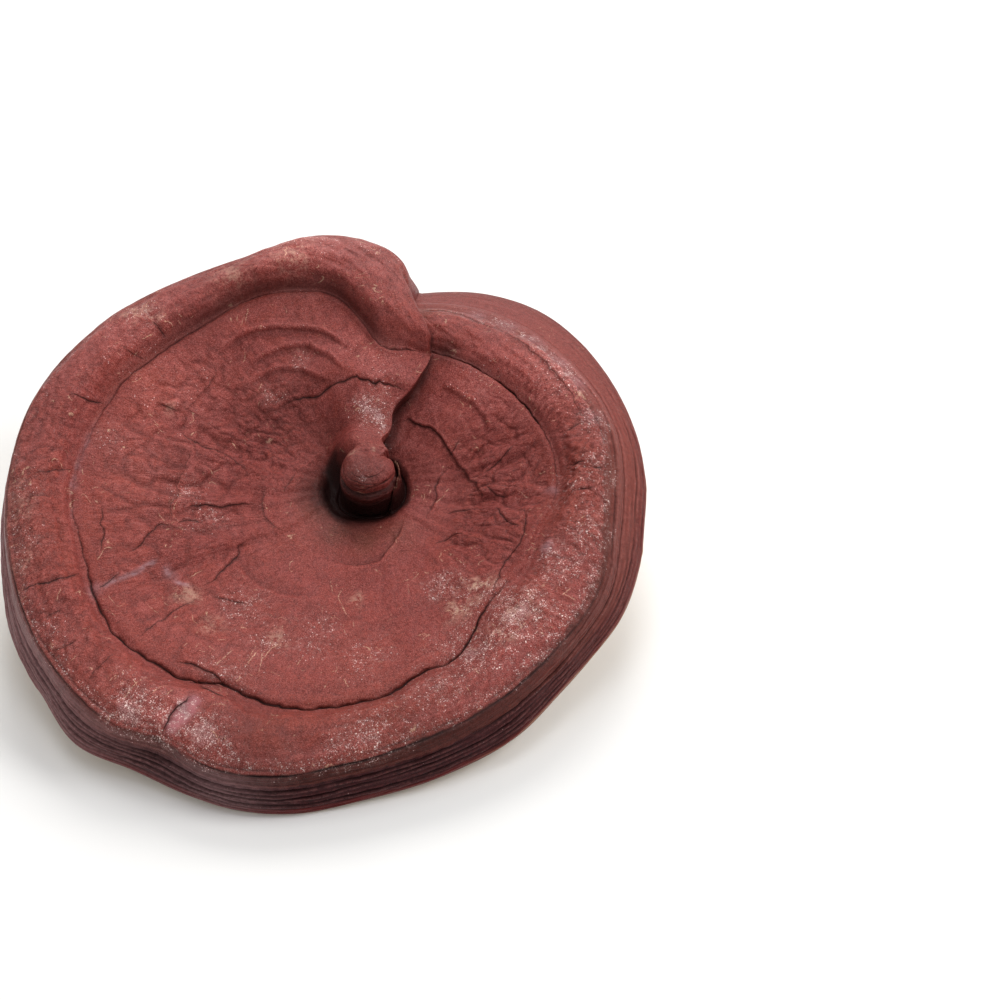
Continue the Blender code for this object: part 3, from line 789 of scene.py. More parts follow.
def cap_sheet():
    """The whole skin of the cap in one sheet, from the top of the knob to the stem's foot."""
    knob_labels = KNOB_LABEL + SHEATH_LABEL * np.arange(len(KNOB)) / len(KNOB)
    sheath_labels = SHEATH_LABEL + SHEATH_LABEL_STEP * np.arange(len(SHEATH))
    rings = [(knob_ring(*at), label, KNOB_STEP) for at, label in zip(KNOB, knob_labels)]
    rings += [(sheath_ring(*at), label, KNOB_STEP) for at, label in zip(SHEATH, sheath_labels)]
    rings += [(bowl_ring(*at), BOWL_LABEL + at[0], row_step(BOWL_STEPS, at[0])) for at in BOWL]
    rings += [(roll_ring(*at), ROLL_LABEL + at[0], row_step(ROLL_STEPS, at[0])) for at in ROLL]
    rings += [(rim_ring(*at), RIM_LABEL + at[1] / RIM[-1][1], RIM_STEP) for at in RIM]
    rings += [(underside_ring(*at), UNDER_LABEL + at[0], UNDERSIDE_STEP) for at in UNDERSIDE]
    points, labels, spacing = zip(*rings)
    return Sheet(points, labels, spacing[1:])


def relieve_groove(sheet, lines):
    """The crack in the groove wanders, and deepens and closes round the clock."""
    wander = 0.5 * noise(FLOW / 11, 0, 21) + 0.3 * rough(FLOW / 3.1, 0, 3, 22)
    depth = np.maximum(curve(GROOVE_CRACK, ANGLES) * (0.9 + 0.4 * noise(FLOW / 4, 0, 23)), 0)
    width = curve(GROOVE_CRACK, ANGLES, 2) * (1 + 0.35 * noise(FLOW / 3, 0, 24))
    away = sheet.across - sheet.across[sheet.row(ROLL_LABEL)] - wander
    cut = bump(away / (0.7 * width)) * GROOVE_CUT * depth * seam_fade()
    steep = around(STEEP_MIDDLE, STEEP_HALF)
    soft = curve(GROOVE_SHADE, ANGLES) * bump((away - 0.7 - 0.9 * steep) / (1.9 + 1.3 * steep))
    sheet.mark("shade", (0.5 * bump(away / CRACK_SHADE) * np.clip(depth, 0, 1) + soft) * seam_fade())
    furrow = around(FURROW_MIDDLE, FURROW_HALF)
    furrow_width = 0.7 + 0.5 * np.abs(noise(FLOW / 4, 0, 25))
    broken = np.clip(0.5 + 1.0 * noise(FLOW / 5, 0, 26) + 0.6 * noise(FLOW / 1.6, away, 28), 0, 1)
    sheet.mark("lilac", furrow * bump((away - 0.3) / furrow_width) * broken)
    wide = 0.36 * width * np.clip(1.3 * depth, 0, 1.3) - 0.06
    lines.draw(slice(None), away, np.broadcast_to(wide, sheet.shape))
    return -cut


def wrinkle_relief(sheet):
    """Radial wrinkles on the bowl and the rolled margin, finer towards the knob."""
    label, across = sheet.label, sheet.across
    bent = FLOW + 2.2 * noise(FLOW / 13, across / 11, 31) + 0.45 * noise(FLOW / 4, across / 3.5, 32)
    in_bowl = rising((label - 1.18) / 0.35) * fading((label - 1.86) / 0.1)
    in_roll = rising((label - 2.04) / 0.15) * fading((label - 2.9) / 0.1)

    wide = creased(bent / 10, across / 18, 33) ** 3
    broad = creased(bent / 5, across / 9, 34) ** 3
    narrow = creased(bent / 2.6, across / 5, 35) ** 2
    fine = creased(bent / 1.3, across / 5, 47) ** 2
    patch = 0.5 + 0.5 * np.clip(1.6 * noise(FLOW / 14, across / 10, 37), -1, 1)
    x, y = sheet.points[..., 0], sheet.points[..., 1]
    warp_x = x + 1.5 * sheet.noise(5, 44)
    warp_y = y + 1.5 * noise(warp_x / 5, y / 5, 45)
    crumple = 0.4 * creased(warp_x / 8, warp_y / 7, 42) ** 3
    crumple = crumple + 0.2 * creased(warp_x / 3.6, warp_y / 3.2, 43) ** 3 * (1 - 0.6 * patch)
    bowl = 0.35 * wide + 0.25 * broad * patch + 0.08 * narrow * patch + crumple
    patch_roll = 0.4 + 0.6 * patch
    roll = 0.26 * broad * patch_roll + 0.24 * narrow * patch_roll + 0.2 * fine
    roll = curve(WRINKLED, ANGLES, 2) * in_roll * roll - 0.6 * rough(FLOW / 15, across / 8, 3, 46) * in_roll

    netted = spot(x, y, *NET) * (label > 1.1) * (label < 1.9)
    net = creased(x / 3.2 + 0.5 * sheet.noise(4, 41), y / 2.6, 38)
    net = net**2 + 0.5 * creased(x / 1.7, y / 1.5, 39) ** 2
    swell = 0.22 * sheet.noise(11, 40, 3) * ((label > 1.05) & (label < 3))
    return swell - curve(WRINKLED, ANGLES) * in_bowl * bowl - roll - 0.55 * netted * net


def knob_relief(sheet):
    """The knob is dented, with thin growth lines round it."""
    dents = 0.35 * sheet.noise(5, 48, 3)
    lines = creased((sheet.across + 0.5 * sheet.noise(5, 49)) / 0.9, 0, 50) ** 3
    lines = lines * rising((sheet.label - 0.12) / 0.1)
    front = around(FRONT, 50, 70)
    return fading((sheet.label - 0.75) / 0.1) * (dents - 0.3 * lines * front)


def draw_knob_lines(sheet, lines):
    for k, at in enumerate(KNOB_LINES):
        away = sheet.across - at - 0.5 * sheet.noise(5, 151 + k) - 0.12 * sheet.noise(1, 161 + k)
        fades = around(FRONT - 8 + 8 * k, 30, 45) * (0.7 + 0.5 * sheet.noise(3, 171 + k))
        lines.draw(slice(None), away, np.where(sheet.label < 0.7, 0.14 * fades - 0.06, -1.0))


def layer_relief(sheet):
    """Wavy layers down the rim, each rounded, with a sharp line between it and the next."""
    depth = sheet.below_shoulder()
    sides = curve(LAYERED_SIDES, ANGLES)
    on_rim = rising((depth - LAYERS_START) / 1.0) * fading((depth - LAYERS_END) / 0.6) * seam_fade()
    height = np.zeros(sheet.shape)
    lines = np.zeros(sheet.shape)
    crests = np.zeros(sheet.shape)
    for k, (line, cut_front, cut_side) in enumerate(LAYERS):
        wander = 0.45 * noise(FLOW / 24, 0, 51 + k) + 0.2 * noise(FLOW / 7, 0, 61 + k)
        away = depth - line - wander - 0.1 * noise(FLOW / 1.8, 0, 71 + k)
        cut = cut_front + (cut_side - cut_front) * sides
        strength = cut * np.clip(0.85 + 1.0 * noise(FLOW / 8, 0, 81 + k), 0.1, 1.5)
        ledge_out = 0.28 * noise(FLOW / 7, 0, 101 + k) + 0.12 * noise(FLOW / 2, 0, 121 + k)
        height -= strength * bump(away / LAYER_WIDTH)
        height += (0.6 * strength + ledge_out * (line > 1)) * rising(away / 0.3) * fading((away - 0.2) / 0.9)
        clear = np.clip(strength / LINE_DARK, 0, 1)
        lines = np.maximum(lines, bump(away / 0.24) * clear)
        crests = np.maximum(crests, bump((away - 0.5) / 0.25) * clear)
    height += 0.09 * creased(FLOW / 4, depth * 1.2, 91) * (depth > 4.6)
    height -= 0.12 * creased(FLOW / 3.5, depth / 9, 92) ** 3 * (depth > -0.5) * (depth < 4.6)
    lined = on_rim * curve(LINED, ANGLES)
    sheet.mark("layered", lines * lined)
    return height * on_rim * curve(LAYERS_DEEP, ANGLES), crests * lined


def underside_relief(sheet):
    """The pore layer swells a little, and thins to the lip."""
    under = rising((sheet.label - UNDER_LABEL - 0.02) / 0.12)
    return under * (0.45 * sheet.noise(26, 95, 3) + 0.05 * sheet.noise(2.5, 96)) * seam_fade()


# Patches of finishes and painted light on the cap: how ragged they are, and the x, y, reach and strength of
# each.
PATCHES = {
    # Spore dust; the spots on the knob's dome and on the ridge's neck above it are painted glints.
    "dust_and_glints": (1.0, (
        (-41, -70, 2.5, 1.0), (-38.5, -67.5, 2.0, 0.9), (-2.4, -0.8, 2.0, 0.9), (0.6, 18.6, 3.6, 1.05),
        (2.2, 14.8, 2.0, 1.0), (20, 58, 3, 0.8), (27, 53, 3, 0.9), (33, 48, 3, 0.9), (39, 43, 3, 0.9),
        (44, 38, 3.5, 1.0), (50, 30, 4, 0.9), (33, 62, 3, 0.6), (40, 57, 3, 0.7), (-37, -76, 7, 0.9),
        (-30, -80.5, 4, 0.8), (-54, -70, 8, 0.9), (-47, -75, 7, 0.7), (2, -77, 8, 0.8), (-4, -80, 5, 0.8),
        (-18, -84, 4, 0.4), (12, -66, 7, 0.4), (26, -52, 8, 0.9), (37, -43, 8, 0.95), (33, -36, 5, 0.7),
        (18, -62, 6, 0.6), (26, -36, 5, 0.6), (19, -30, 5, 0.8), (47, -28, 7, 0.7), (54, -20, 6, 0.7),
        (50, -8, 6, 0.35), (57, -2, 6, 0.7), (57, 14, 6, 0.6), (51, 32, 8, 0.7), (43, 45, 7, 0.6),
        (30, 55, 6, 0.5), (-0.5, 21, 4.5, 0.9), (-32, -57, 6, 0.4), (-24, -47, 5, 0.4), (-30, -36, 6, 0.5),
        (-12, -44, 8, 0.3), (-41, -9, 4, 0.6), (-46, -2, 4, 0.4), (-66, 10, 5, 0.2), (-84, -22, 6, 0.35),
        (-86, -8, 5, 0.35), (-60, 47, 5, 0.4), (0, -52, 7, 0.3), (-78, -50, 8, 0.4), (-20, 35, 3, 0.4),
        (-27, 28, 3, 0.5),
    )),
    # The patches along the upper right margin, from (26, 51) to (56, 15), are painted sheen; the rest are
    # lilac marks.
    "lilac": (0.5, (
        (26, 51, 3, 0.5), (35, 47.5, 3, 0.5), (42, 42, 3, 0.5), (48.5, 35, 3.5, 0.5), (53, 27, 3, 0.4),
        (56, 15, 2.5, 0.3), (44, -23.5, 1.5, 0.8), (44.6, -5.5, 1.2, 0.7), (-48.5, -26.8, 1.4, 0.5),
        (-66, -34.5, 1.6, 0.5),
    )),
    # A pink facet of a chip in front, painted paler as a lit face.
    "pink": (0.1, (
        (-43.6, -73.2, 1.3, 2.5), (-42, -71.2, 1.6, 2.5), (-40.4, -69.2, 1.7, 2.5), (-39.2, -67.2, 1.3, 2.5),
    )),
    # Olive-brown tint; round the pit's front and left it also darkens the skin as painted shade.
    "olive": (0.6, (
        (-8, -10.5, 5, 0.9), (-2, -12.5, 5, 1.0), (5, -11.5, 5, 0.8), (-14, -4, 5, 0.7), (-14, 3, 4, 0.4),
        (13, 51, 3, 0.9), (20, 60, 8, 0.5), (32, 57, 8, 0.4), (45, 48, 7, 0.4),
    )),
    "warm": (1.0, (
        (-78, -20, 22, 0.8), (-66, -56, 16, 0.6), (-58, 0, 14, 0.6), (-40, -52, 18, 0.5), (0, -58, 20, 0.45),
        (-58, 26, 10, 0.7), (18, 56, 7, 0.8), (10, 57, 6, 0.8), (-22, -12, 8, 0.5), (8, 46, 5, 0.5),
        (-20, -75, 9, 1.2), (-12, -70, 8, 1.2), (2, -70, 14, 1.2), (16, -66, 10, 0.6), (54, 0, 9, 1.2),
        (52, -14, 9, 1.2), (50, 12, 8, 0.5), (40, -38, 10, 0.4),
    )),
    # Mauve film; the patches at (42, 46), (30, 54) and (50, 30) on the upper right margin are painted sheen.
    "film_and_sheen": (1.0, (
        (3, 33, 9, 0.6), (28, 29, 9, 0.35), (36, 20, 7, 0.2), (-57, 2, 12, 0.5), (-50, 26, 10, 0.3),
        (-1, 1, 5, 0.6), (-16, 38, 9, 0.2), (18, -4, 8, 0.2), (-30, -10, 9, 0.3), (42, 46, 6, 0.9),
        (30, 54, 6, 0.9), (50, 30, 6, 0.8),
    )),
    # Painted shade: soft darker patches, such as the ridge's shadow on the bowl left of it.
    "dusky_shade": (1.0, (
        (-40, 12, 14, 0.35), (-24, 22, 12, 0.7), (-8, -2, 10, 1.0), (12, 6, 14, 0.7), (22, 2, 12, 0.5),
        (-20, 47, 10, 0.6), (-40, 36, 12, 0.35), (-50, -15, 12, 0.3), (38, 6, 10, 0.4), (46, 20, 9, 0.35),
        (-26, -22, 10, 0.3), (30, -12, 9, 0.3),
    )),
    # Worn places; the first two, on the knob's dome, are painted highlights.
    "wear_and_highlight": (0.6, (
        (-5.4, 6.4, 1.3, 0.7), (0.2, 7.8, 0.9, 0.6), (23, -38, 3.4, 1.0), (27, -32, 3, 1.0),
        (37, -42, 3, 0.8), (32, -48, 3, 0.6), (-3, -33, 1.5, 0.8), (-52, 22, 2, 0.4), (-21, -45, 3, 0.5),
        (-37, -42, 2.5, 0.5), (-44, -33, 3, 0.6), (-86, -14, 4, 0.35), (-87, -5, 3, 0.3), (-83, -28, 3, 0.3),
        (-37.5, 57, 5, 0.4), (-22, 62, 5, 0.4), (-62, 46, 3, 0.6), (-57, 45, 2, 0.6),
    )),
}
# Thin lilac scuffs: half width, and the points they run through.
SCUFFS = (
    (0.7, ((-65, -35), (-61.4, -31.1), (-57.2, -28.6), (-52.9, -24.6), (-50.9, -24.4))),
    (0.6, ((-50.8, -25), (-48.6, -27.4), (-46.2, -29.7), (-42.5, -30.5))),
)
# Where the skin is lighter or darker than elsewhere: x, y, reach, change.
# Some darker places are painted shade: beside the ridge's neck, round the pit, right of the beak, under the
# fold in front.
TONE_AND_SHADE = (
    (-59, 34, 14, 0.3), (-53, -74, 12, 0.15), (-19, -83, 12, -0.22), (47, -47, 12, 0.1), (47, 27, 11, 0.3),
    (-48, 23, 10, 0.1), (1, 35, 8, 0.33), (0, -74, 12, -0.07), (26, 30, 9, 0.25), (-12, 17, 4.5, -0.25),
    (-10.5, 10, 3.5, -0.3), (16, -74, 10, -0.2), (52, 5, 10, -0.1), (-6, -9, 7, -0.4), (-14, 2, 6, -0.5),
    (-24, 20, 11, -0.15), (-20, 66, 16, 0.35), (18.5, 39, 3.5, -0.5), (-56, -5, 16, 0.05), (30, 10, 14, 0.05),
    (-30, -72, 8, -0.12), (-35.5, -59.8, 3, -0.3), (4, 32, 7, 0.1), (31, 28, 8, 0.1), (-1, 0, 7, -0.3),
    (-24, -74, 9, -0.12),
)
# How much darker the skin is at the shoulder, round the clock.
SHOULDER_DARK = (
    (64, 0), (180, 0.1), (220, 0.25), (260, 0.2), (300, 0.35), (335, 0.35), (365, 0.25), (400, 0.15),
    (440, 0),
)
# Mauve film on the outer half of the rolled margin, and on the rim, round the clock: angle, margin, rim.
FILM = (
    (64, 0.7, 0.3), (95, 1.0, 0.3), (130, 0.8, 0.3), (160, 0.4, 0.5), (190, 0.35, 0.9), (220, 0.3, 0.9),
    (240, 0.3, 0.3), (249, 0.2, 0.8), (258, 0.1, 0.15), (285, 0.05, 0), (300, 0.1, 0), (335, 0.25, 0.1),
    (370, 0.3, 0.1), (400, 0.6, 0.2), (440, 0.4, 0.3),
)


def smudges(sheet, ragged, places):
    """Soft patches at (x, y, reach, strength) of the cap's plane."""
    x = sheet.points[..., 0] + 2.5 * sheet.noise(5, 101) * ragged
    y = sheet.points[..., 1]
    y = y + 2.5 * noise(x / 5, y / 5, 102) * ragged
    total = np.zeros(sheet.shape)
    for *place, strength in places:
        total = np.maximum(total, strength * spot(x, y, *place))
    return total * fading((sheet.label - RIM_LABEL) / 0.22)


def mark_tone(sheet):
    """Half the brightness of the skin: 0.5 where it is as elsewhere."""
    x, y = sheet.points[..., 0], sheet.points[..., 1]
    change = sum(strength * spot(x, y, *place) for *place, strength in TONE_AND_SHADE)
    # Painted shade on the steep inner slope of the rolled margin above the groove.
    inner_slope = bump((sheet.label - 2.18) / 0.14) * around(105, 55)
    shoulder = bump((sheet.label - 2.97) / 0.07) * curve(SHOULDER_DARK, ANGLES)
    sheet.mark("tone_and_painted_light", 0.5 * (1 + change * (sheet.label < RIM_LABEL + 0.2) - 0.25 * inner_slope - shoulder))


def mark_scuffs(sheet):
    plane = sheet.points[..., :2]
    for width, line in SCUFFS:
        inside = near(plane, line, LINE_REACH) & sheet.top()
        away, share = towards(plane[inside], smooth_line(line))
        scuff = np.zeros(sheet.shape)
        scuff[inside] = bump(away / width) * tapered(share, 0.15)
        sheet.mark("lilac", scuff * (0.8 + 0.9 * sheet.noise(1.8, 27)))


def mark_cap(sheet):
    """Where the finishes of the cap go, with its painted light and shade."""
    for name, (ragged, places) in PATCHES.items():
        sheet.mark(name, smudges(sheet, ragged, places))
    mark_scuffs(sheet)
    mark_tone(sheet)
    label, depth = sheet.label, sheet.drop()
    sides = curve(LAYERED_SIDES, ANGLES)
    wander = 0.5 * noise(FLOW / 12, 0, 111) + 0.2 * noise(FLOW / 3, 0, 112)
    ragged = 1.6 * wander + (0.5 + 0.7 * sides) * noise(FLOW / 1.6, sheet.across / 1.2, 113)
    band = rising((sheet.below_shoulder() + 1.5 + 1.4 * sides + ragged) / (2.0 + 1.5 * sides))
    lamella = rising((depth - 4.0 - 3.4 * sides - wander) / 0.7)
    plain = 1 - 0.85 * curve(BACK_PLAIN, ANGLES)
    above_end = fading((depth - RIM_END) / 0.3)
    sheet.mark("band", band * above_end * plain)
    sheet.mark("lamella", lamella * above_end * plain)
    sheet.mark("lip", rising((depth - 9.2 - wander) / 0.8) * above_end)
    # Painted shade on the rim, darkest in front.
    sheet.mark("front", curve(RIM_FRONT_SHADE, ANGLES) + 0 * label)
    sheet.mark("dust_and_glints", 0.6 * bump((depth + 1.3 + 2 * wander) / 0.9) * curve(SHOULDER_DUST, ANGLES))
    # A painted highlight along the sheath's crest.
    sheet.mark("wear_and_highlight", bump((label - CREST_LABEL) / 0.006) * (sheet.points[..., 2] > SHEATH_LIT_CREST))
    sheet.mark("film_and_sheen", rising((label - 2.35) / 0.35) * fading((depth - 0.2) / 1.2) * curve(FILM, ANGLES))
    sheet.mark("rim_film", rising((depth + 0.5) / 1.0) * above_end * curve(FILM, ANGLES, 2))
    bowl = curve(WRINKLED, ANGLES) * rising((label - 1.12) / 0.35)
    wrinkled = np.where(label < ROLL_LABEL, bowl, curve(WRINKLED, ANGLES, 2))
    sheet.mark("wrinkled", wrinkled * ((label > BOWL_LABEL) & (label < RIM_LABEL + 0.1)))


def mark_hollows(sheet):
    """Where little light gets in: the pit round the knob and the crack under the upper lobe's edge."""
    x, y, z = np.moveaxis(sheet.points, -1, 0)
    label = sheet.label
    away = np.hypot(x - PIT_AT[0], y - PIT_AT[1]) - curve(PIT_EDGE, ANGLES) + 0.7 * sheet.noise(3, 131)
    bottom = fading((away - 0.6) / (1.3 * curve(PIT_SHADE, ANGLES))) * rising((PIT_DUSK - z) / 4)
    lit = LIT_SHARE * around(LIT_WALL, LIT_HALF) * (label > BOWL_LABEL + 0.01)
    bottom = bottom * (label >= BOWL_LABEL) * (label < 1.4) * (1 - lit)
    foot = 0.65 * rising((PIT_DUSK + 0.2 - z) / 1.2) + 0.35 * rising((PIT_NIGHT - z) / 2.5)
    sheet.mark("hollow", np.maximum(foot * (label > 0.3) * (label < BOWL_LABEL), bottom))
    reach = 2.6 + 2.2 * fading((label - 1.3) / 0.5)
    wall = fading((STEPS - 0.5) / 0.6) + 0.95 * fading((360 - STEPS) * np.radians(np.hypot(x, y)) / reach)
    sheet.mark("shade", wall * (label > 0.9) * fading((label - 2.45) / 0.5))


def smoothed(field, reach):
    """Mean over the rows and columns round each place."""
    for axis in (0, 1):
        margin = [(0, 0), (0, 0)]
        margin[axis] = (reach + 1, reach)
        total = np.cumsum(np.pad(field, margin, mode="edge"), axis=axis)
        count = field.shape[axis]
        ends = np.take(total, np.arange(2 * reach + 1, 2 * reach + 1 + count), axis)
        field = (ends - np.take(total, np.arange(count), axis)) / (2 * reach + 1)
    return field


def finished_cap():
    sheet = cap_sheet()
    plane = sheet.points[..., :2]
    top = sheet.top()
    lines = Lines(sheet.shape)
    cracks, dark = crack_relief(plane, top, lines)
    sheet.mark("shade", dark * seam_fade())
    mark_hollows(sheet)
    mark_cap(sheet)
    layers, crests = layer_relief(sheet)
    height = relieve_groove(sheet, lines) + layers
    draw_knob_lines(sheet, lines)
    sheet.lines = np.stack([lines.away, lines.wide * seam_fade(), crests], axis=-1)
    scratches = Lines(sheet.shape)
    draw_scratches(plane, top, scratches)
    # A painted highlight line along the sheath's crest, drawn with the scratches.
    up = (sheet.label - CREST_LABEL) * 80 + 0.15 * noise(sheet.points[..., 1] / 1.5, 0, 143)
    scratches.draw(slice(None), up, np.where(sheet.points[..., 2] > SHEATH_LIT_LINE, 0.4, -1.0))
    hairline = bump((sheet.drop() - HAIRLINE_AT) / 0.25) * curve(HAIRLINE, ANGLES)
    sheet.scratches = np.stack([scratches.away, scratches.wide, hairline], axis=-1)
    height += (cracks + terrace_relief(plane, top) + wrinkle_relief(sheet) + knob_relief(sheet)) * seam_fade()
    # Painted light and shade: the relief's crests are made lighter and its hollows darker.
    raised = np.tanh((height - smoothed(height, CREST_REACH)) / CREST_HEIGHT)
    sheet.marks["tone_and_painted_light"] = np.clip(sheet.marks["tone_and_painted_light"] * (1 + CREST_LIGHT * raised), 0, 1)
    sheet.raise_by(height + underside_relief(sheet))
    return sheet


def finished_stem():
    edge = STEM[-1][1]
    rings = [stem_ring(share, radius) for share, radius in STEM]
    rings += [stem_ring(1.0, edge * share) for share in CUT_ROWS]
    labels = [share for share, _ in STEM] + [2 - share for share in CUT_ROWS]
    sheet = Sheet(rings, labels, [STEM_STEP] * (len(STEM) - 1) + list(CUT_STEPS))
    across = sheet.across
    side = fading((sheet.label - 0.93) / 0.06)
    wrinkles = creased(FLOW / 14 + 0.4 * noise(FLOW / 20, across / 6, 121), across / 14, 122) ** 2
    lumps = 0.35 * noise(FLOW / 18, across / 5, 123) - 0.5 * wrinkles
    sheet.raise_by(lumps * side * seam_fade(STEM_FADE))
    cut = np.broadcast_to(rising((sheet.label - 0.985) / 0.015), sheet.shape)
    sheet.lines = sheet.scratches = np.stack([cut, cut, cut], axis=-1)
    return sheet


# Finishes and painted light and shade, as the skin's fields hold them, three to a field.
MARKS = (
    ("shade", "dust_and_glints", "lilac"), ("band", "lamella", "lip"), ("warm", "dusky_shade", "wrinkled"),
    ("front", "layered", "wear_and_highlight"), ("tone_and_painted_light", "film_and_sheen", "rim_film"), ("pink", "olive", "hollow"),
)


def piece(name, sheet, rows, every, material):
    """A mesh of some rows of a sheet. Only every so many columns are kept."""
    points = to_part(sheet.points[rows][:, ::every])
    normals = turn_to_part(sheet.smooth_normals[rows][:, ::every])
    corner = np.arange(points[..., 0].size).reshape(points.shape[:2])
    faces = np.stack([corner[:-1, :-1], corner[1:, :-1], corner[1:, 1:], corner[:-1, 1:]], axis=-1)
    mesh = bpy.data.meshes.new(name)
    mesh.from_pydata(points.reshape(-1, 3), [], faces.reshape(-1, 4))
    mesh.shade_smooth()
    mesh.normals_split_custom_set_from_vertices(normals.reshape(-1, 3))

    flow = [np.broadcast_to(values, sheet.shape) for values in (FLOW, sheet.across, sheet.label)]
    fields = {"flow": np.stack(flow, axis=-1), "lines": sheet.lines, "scratches": sheet.scratches}
    for index, names in enumerate(MARKS):
        marks = [sheet.marks.get(mark, np.zeros(sheet.shape)) for mark in names]
        fields[f"marks_{index}"] = np.stack(marks, axis=-1)
    for field, values in fields.items():
        attribute = mesh.attributes.new(field, "FLOAT_VECTOR", "POINT")
        attribute.data.foreach_set("vector", values[rows][:, ::every].astype(np.float32).ravel())
    mesh.materials.append(material)
    obj = bpy.data.objects.new(name, mesh)
    bpy.context.scene.collection.objects.link(obj)
    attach(obj, "root")
    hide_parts(NODE)
    return obj


# --- Materials ----------------------------------------------------------------------------------------------


def rgb(red, green, blue):
    return (red, green, blue, 1.0)


class Shader:
    """A node tree under construction. Sockets and plain values are given alike."""

    def __init__(self, name):
        self.material = bpy.data.materials.new(name)
        self.material.use_nodes = True
        self.nodes = self.material.node_tree.nodes
        self.links = self.material.node_tree.links
        self.surface = self.nodes["Principled BSDF"]

    def feed(self, made, inputs):
        for key, value in inputs.items():
            socket = made.inputs[key]
            if isinstance(value, bpy.types.NodeSocket):
                self.links.new(value, socket)
            else:
                socket.default_value = value

    def add(self, kind, inputs, output=0, **settings):
        made = self.nodes.new("ShaderNode" + kind)
        for name, value in settings.items():
            setattr(made, name, value)
        self.feed(made, inputs)
        return made.outputs[output]

    def math(self, operation, *values):
        return self.add("Math", dict(enumerate(values)), operation=operation)

    def times(self, value, other):
        return self.math("MULTIPLY", value, other)

    def plus(self, value, other):
        return self.math("ADD", value, other)

    def minus(self, value, other):
        return self.math("SUBTRACT", value, other)

    def from_line(self, value, middle=0.0):
        """Distance from where a field has its middle value."""
        return self.math("ABSOLUTE", self.minus(value, middle))

    def place(self):
        """The part's own place, in millimetres."""
        whole = self.add("TexCoord", {}, "Object")
        return self.add("VectorMath", {0: whole, 1: (1 / MM,) * 3}, operation="MULTIPLY")

    def flow(self, scale):
        """Place along the skin: round the clock, then outwards, in millimetres."""
        along = self.add("Attribute", {}, "Vector", attribute_name="flow")
        return self.add("VectorMath", {0: along, 1: scale}, operation="MULTIPLY")

    def apart(self, vector):
        parted = self.nodes.new("ShaderNodeSeparateXYZ")
        self.links.new(vector, parted.inputs[0])
        return parted.outputs

    def parts(self, field):
        return self.apart(self.add("Attribute", {}, "Vector", attribute_name=field))

    def cells(self, vector, scale, threshold):
        """Small round dots, in as many cells as have their own random number over the threshold."""
        made = self.nodes.new("ShaderNodeTexVoronoi")
        self.feed(made, {"Vector": vector, "Scale": scale})
        chance = self.apart(made.outputs["Color"])[0]
        size = self.ramp(self.minus(chance, threshold), 0.0, 0.12, 0.0, 0.36)
        return self.ramp(self.minus(size, made.outputs["Distance"]), -0.02, 0.08)

    def thread(self, vector, scale, width, distortion=1.0):
        """Thin curling lines: the contours of a noise."""
        field = self.noise(vector, scale, 1.0, 0.5, distortion)
        return self.ramp(self.from_line(field, 0.5), width * 0.5, width, 1.0, 0.0)

    def noise(self, vector, scale, detail=4.0, roughness=0.55, distortion=0.0):
        settings = {"Scale": scale, "Detail": detail, "Roughness": roughness, "Distortion": distortion}
        return self.add("TexNoise", {"Vector": vector, **settings}, "Fac")

    def ramp(self, value, low, high, to_low=0.0, to_high=1.0):
        return self.add("MapRange", {0: value, 1: low, 2: high, 3: to_low, 4: to_high}, clamp=True)

    def mix(self, factor, colour, other):
        """A blend of two colours, which are sockets or (red, green, blue)."""
        colours = [rgb(*tint) if isinstance(tint, tuple) else tint for tint in (colour, other)]
        return self.add("Mix", {0: factor, 6: colours[0], 7: colours[1]}, 2, data_type="RGBA")

    def coats(self, colour, *coats):
        """Coats of colour laid over each other. Each is how strong it is, and its colour."""
        for factor, tint in coats:
            colour = self.mix(factor, colour, tint)
        return colour

    def finish(self, relief, distance, strength, **inputs):
        """The material. Where it has a relief, its surface is bumpy: distance in metres, and strength."""
        if relief:
            bumps = {"Height": relief, "Distance": distance, "Strength": strength}
            inputs["Normal"] = self.add("Bump", bumps)
        self.feed(self.surface, {name.replace("_", " "): value for name, value in inputs.items()})
        return self.material


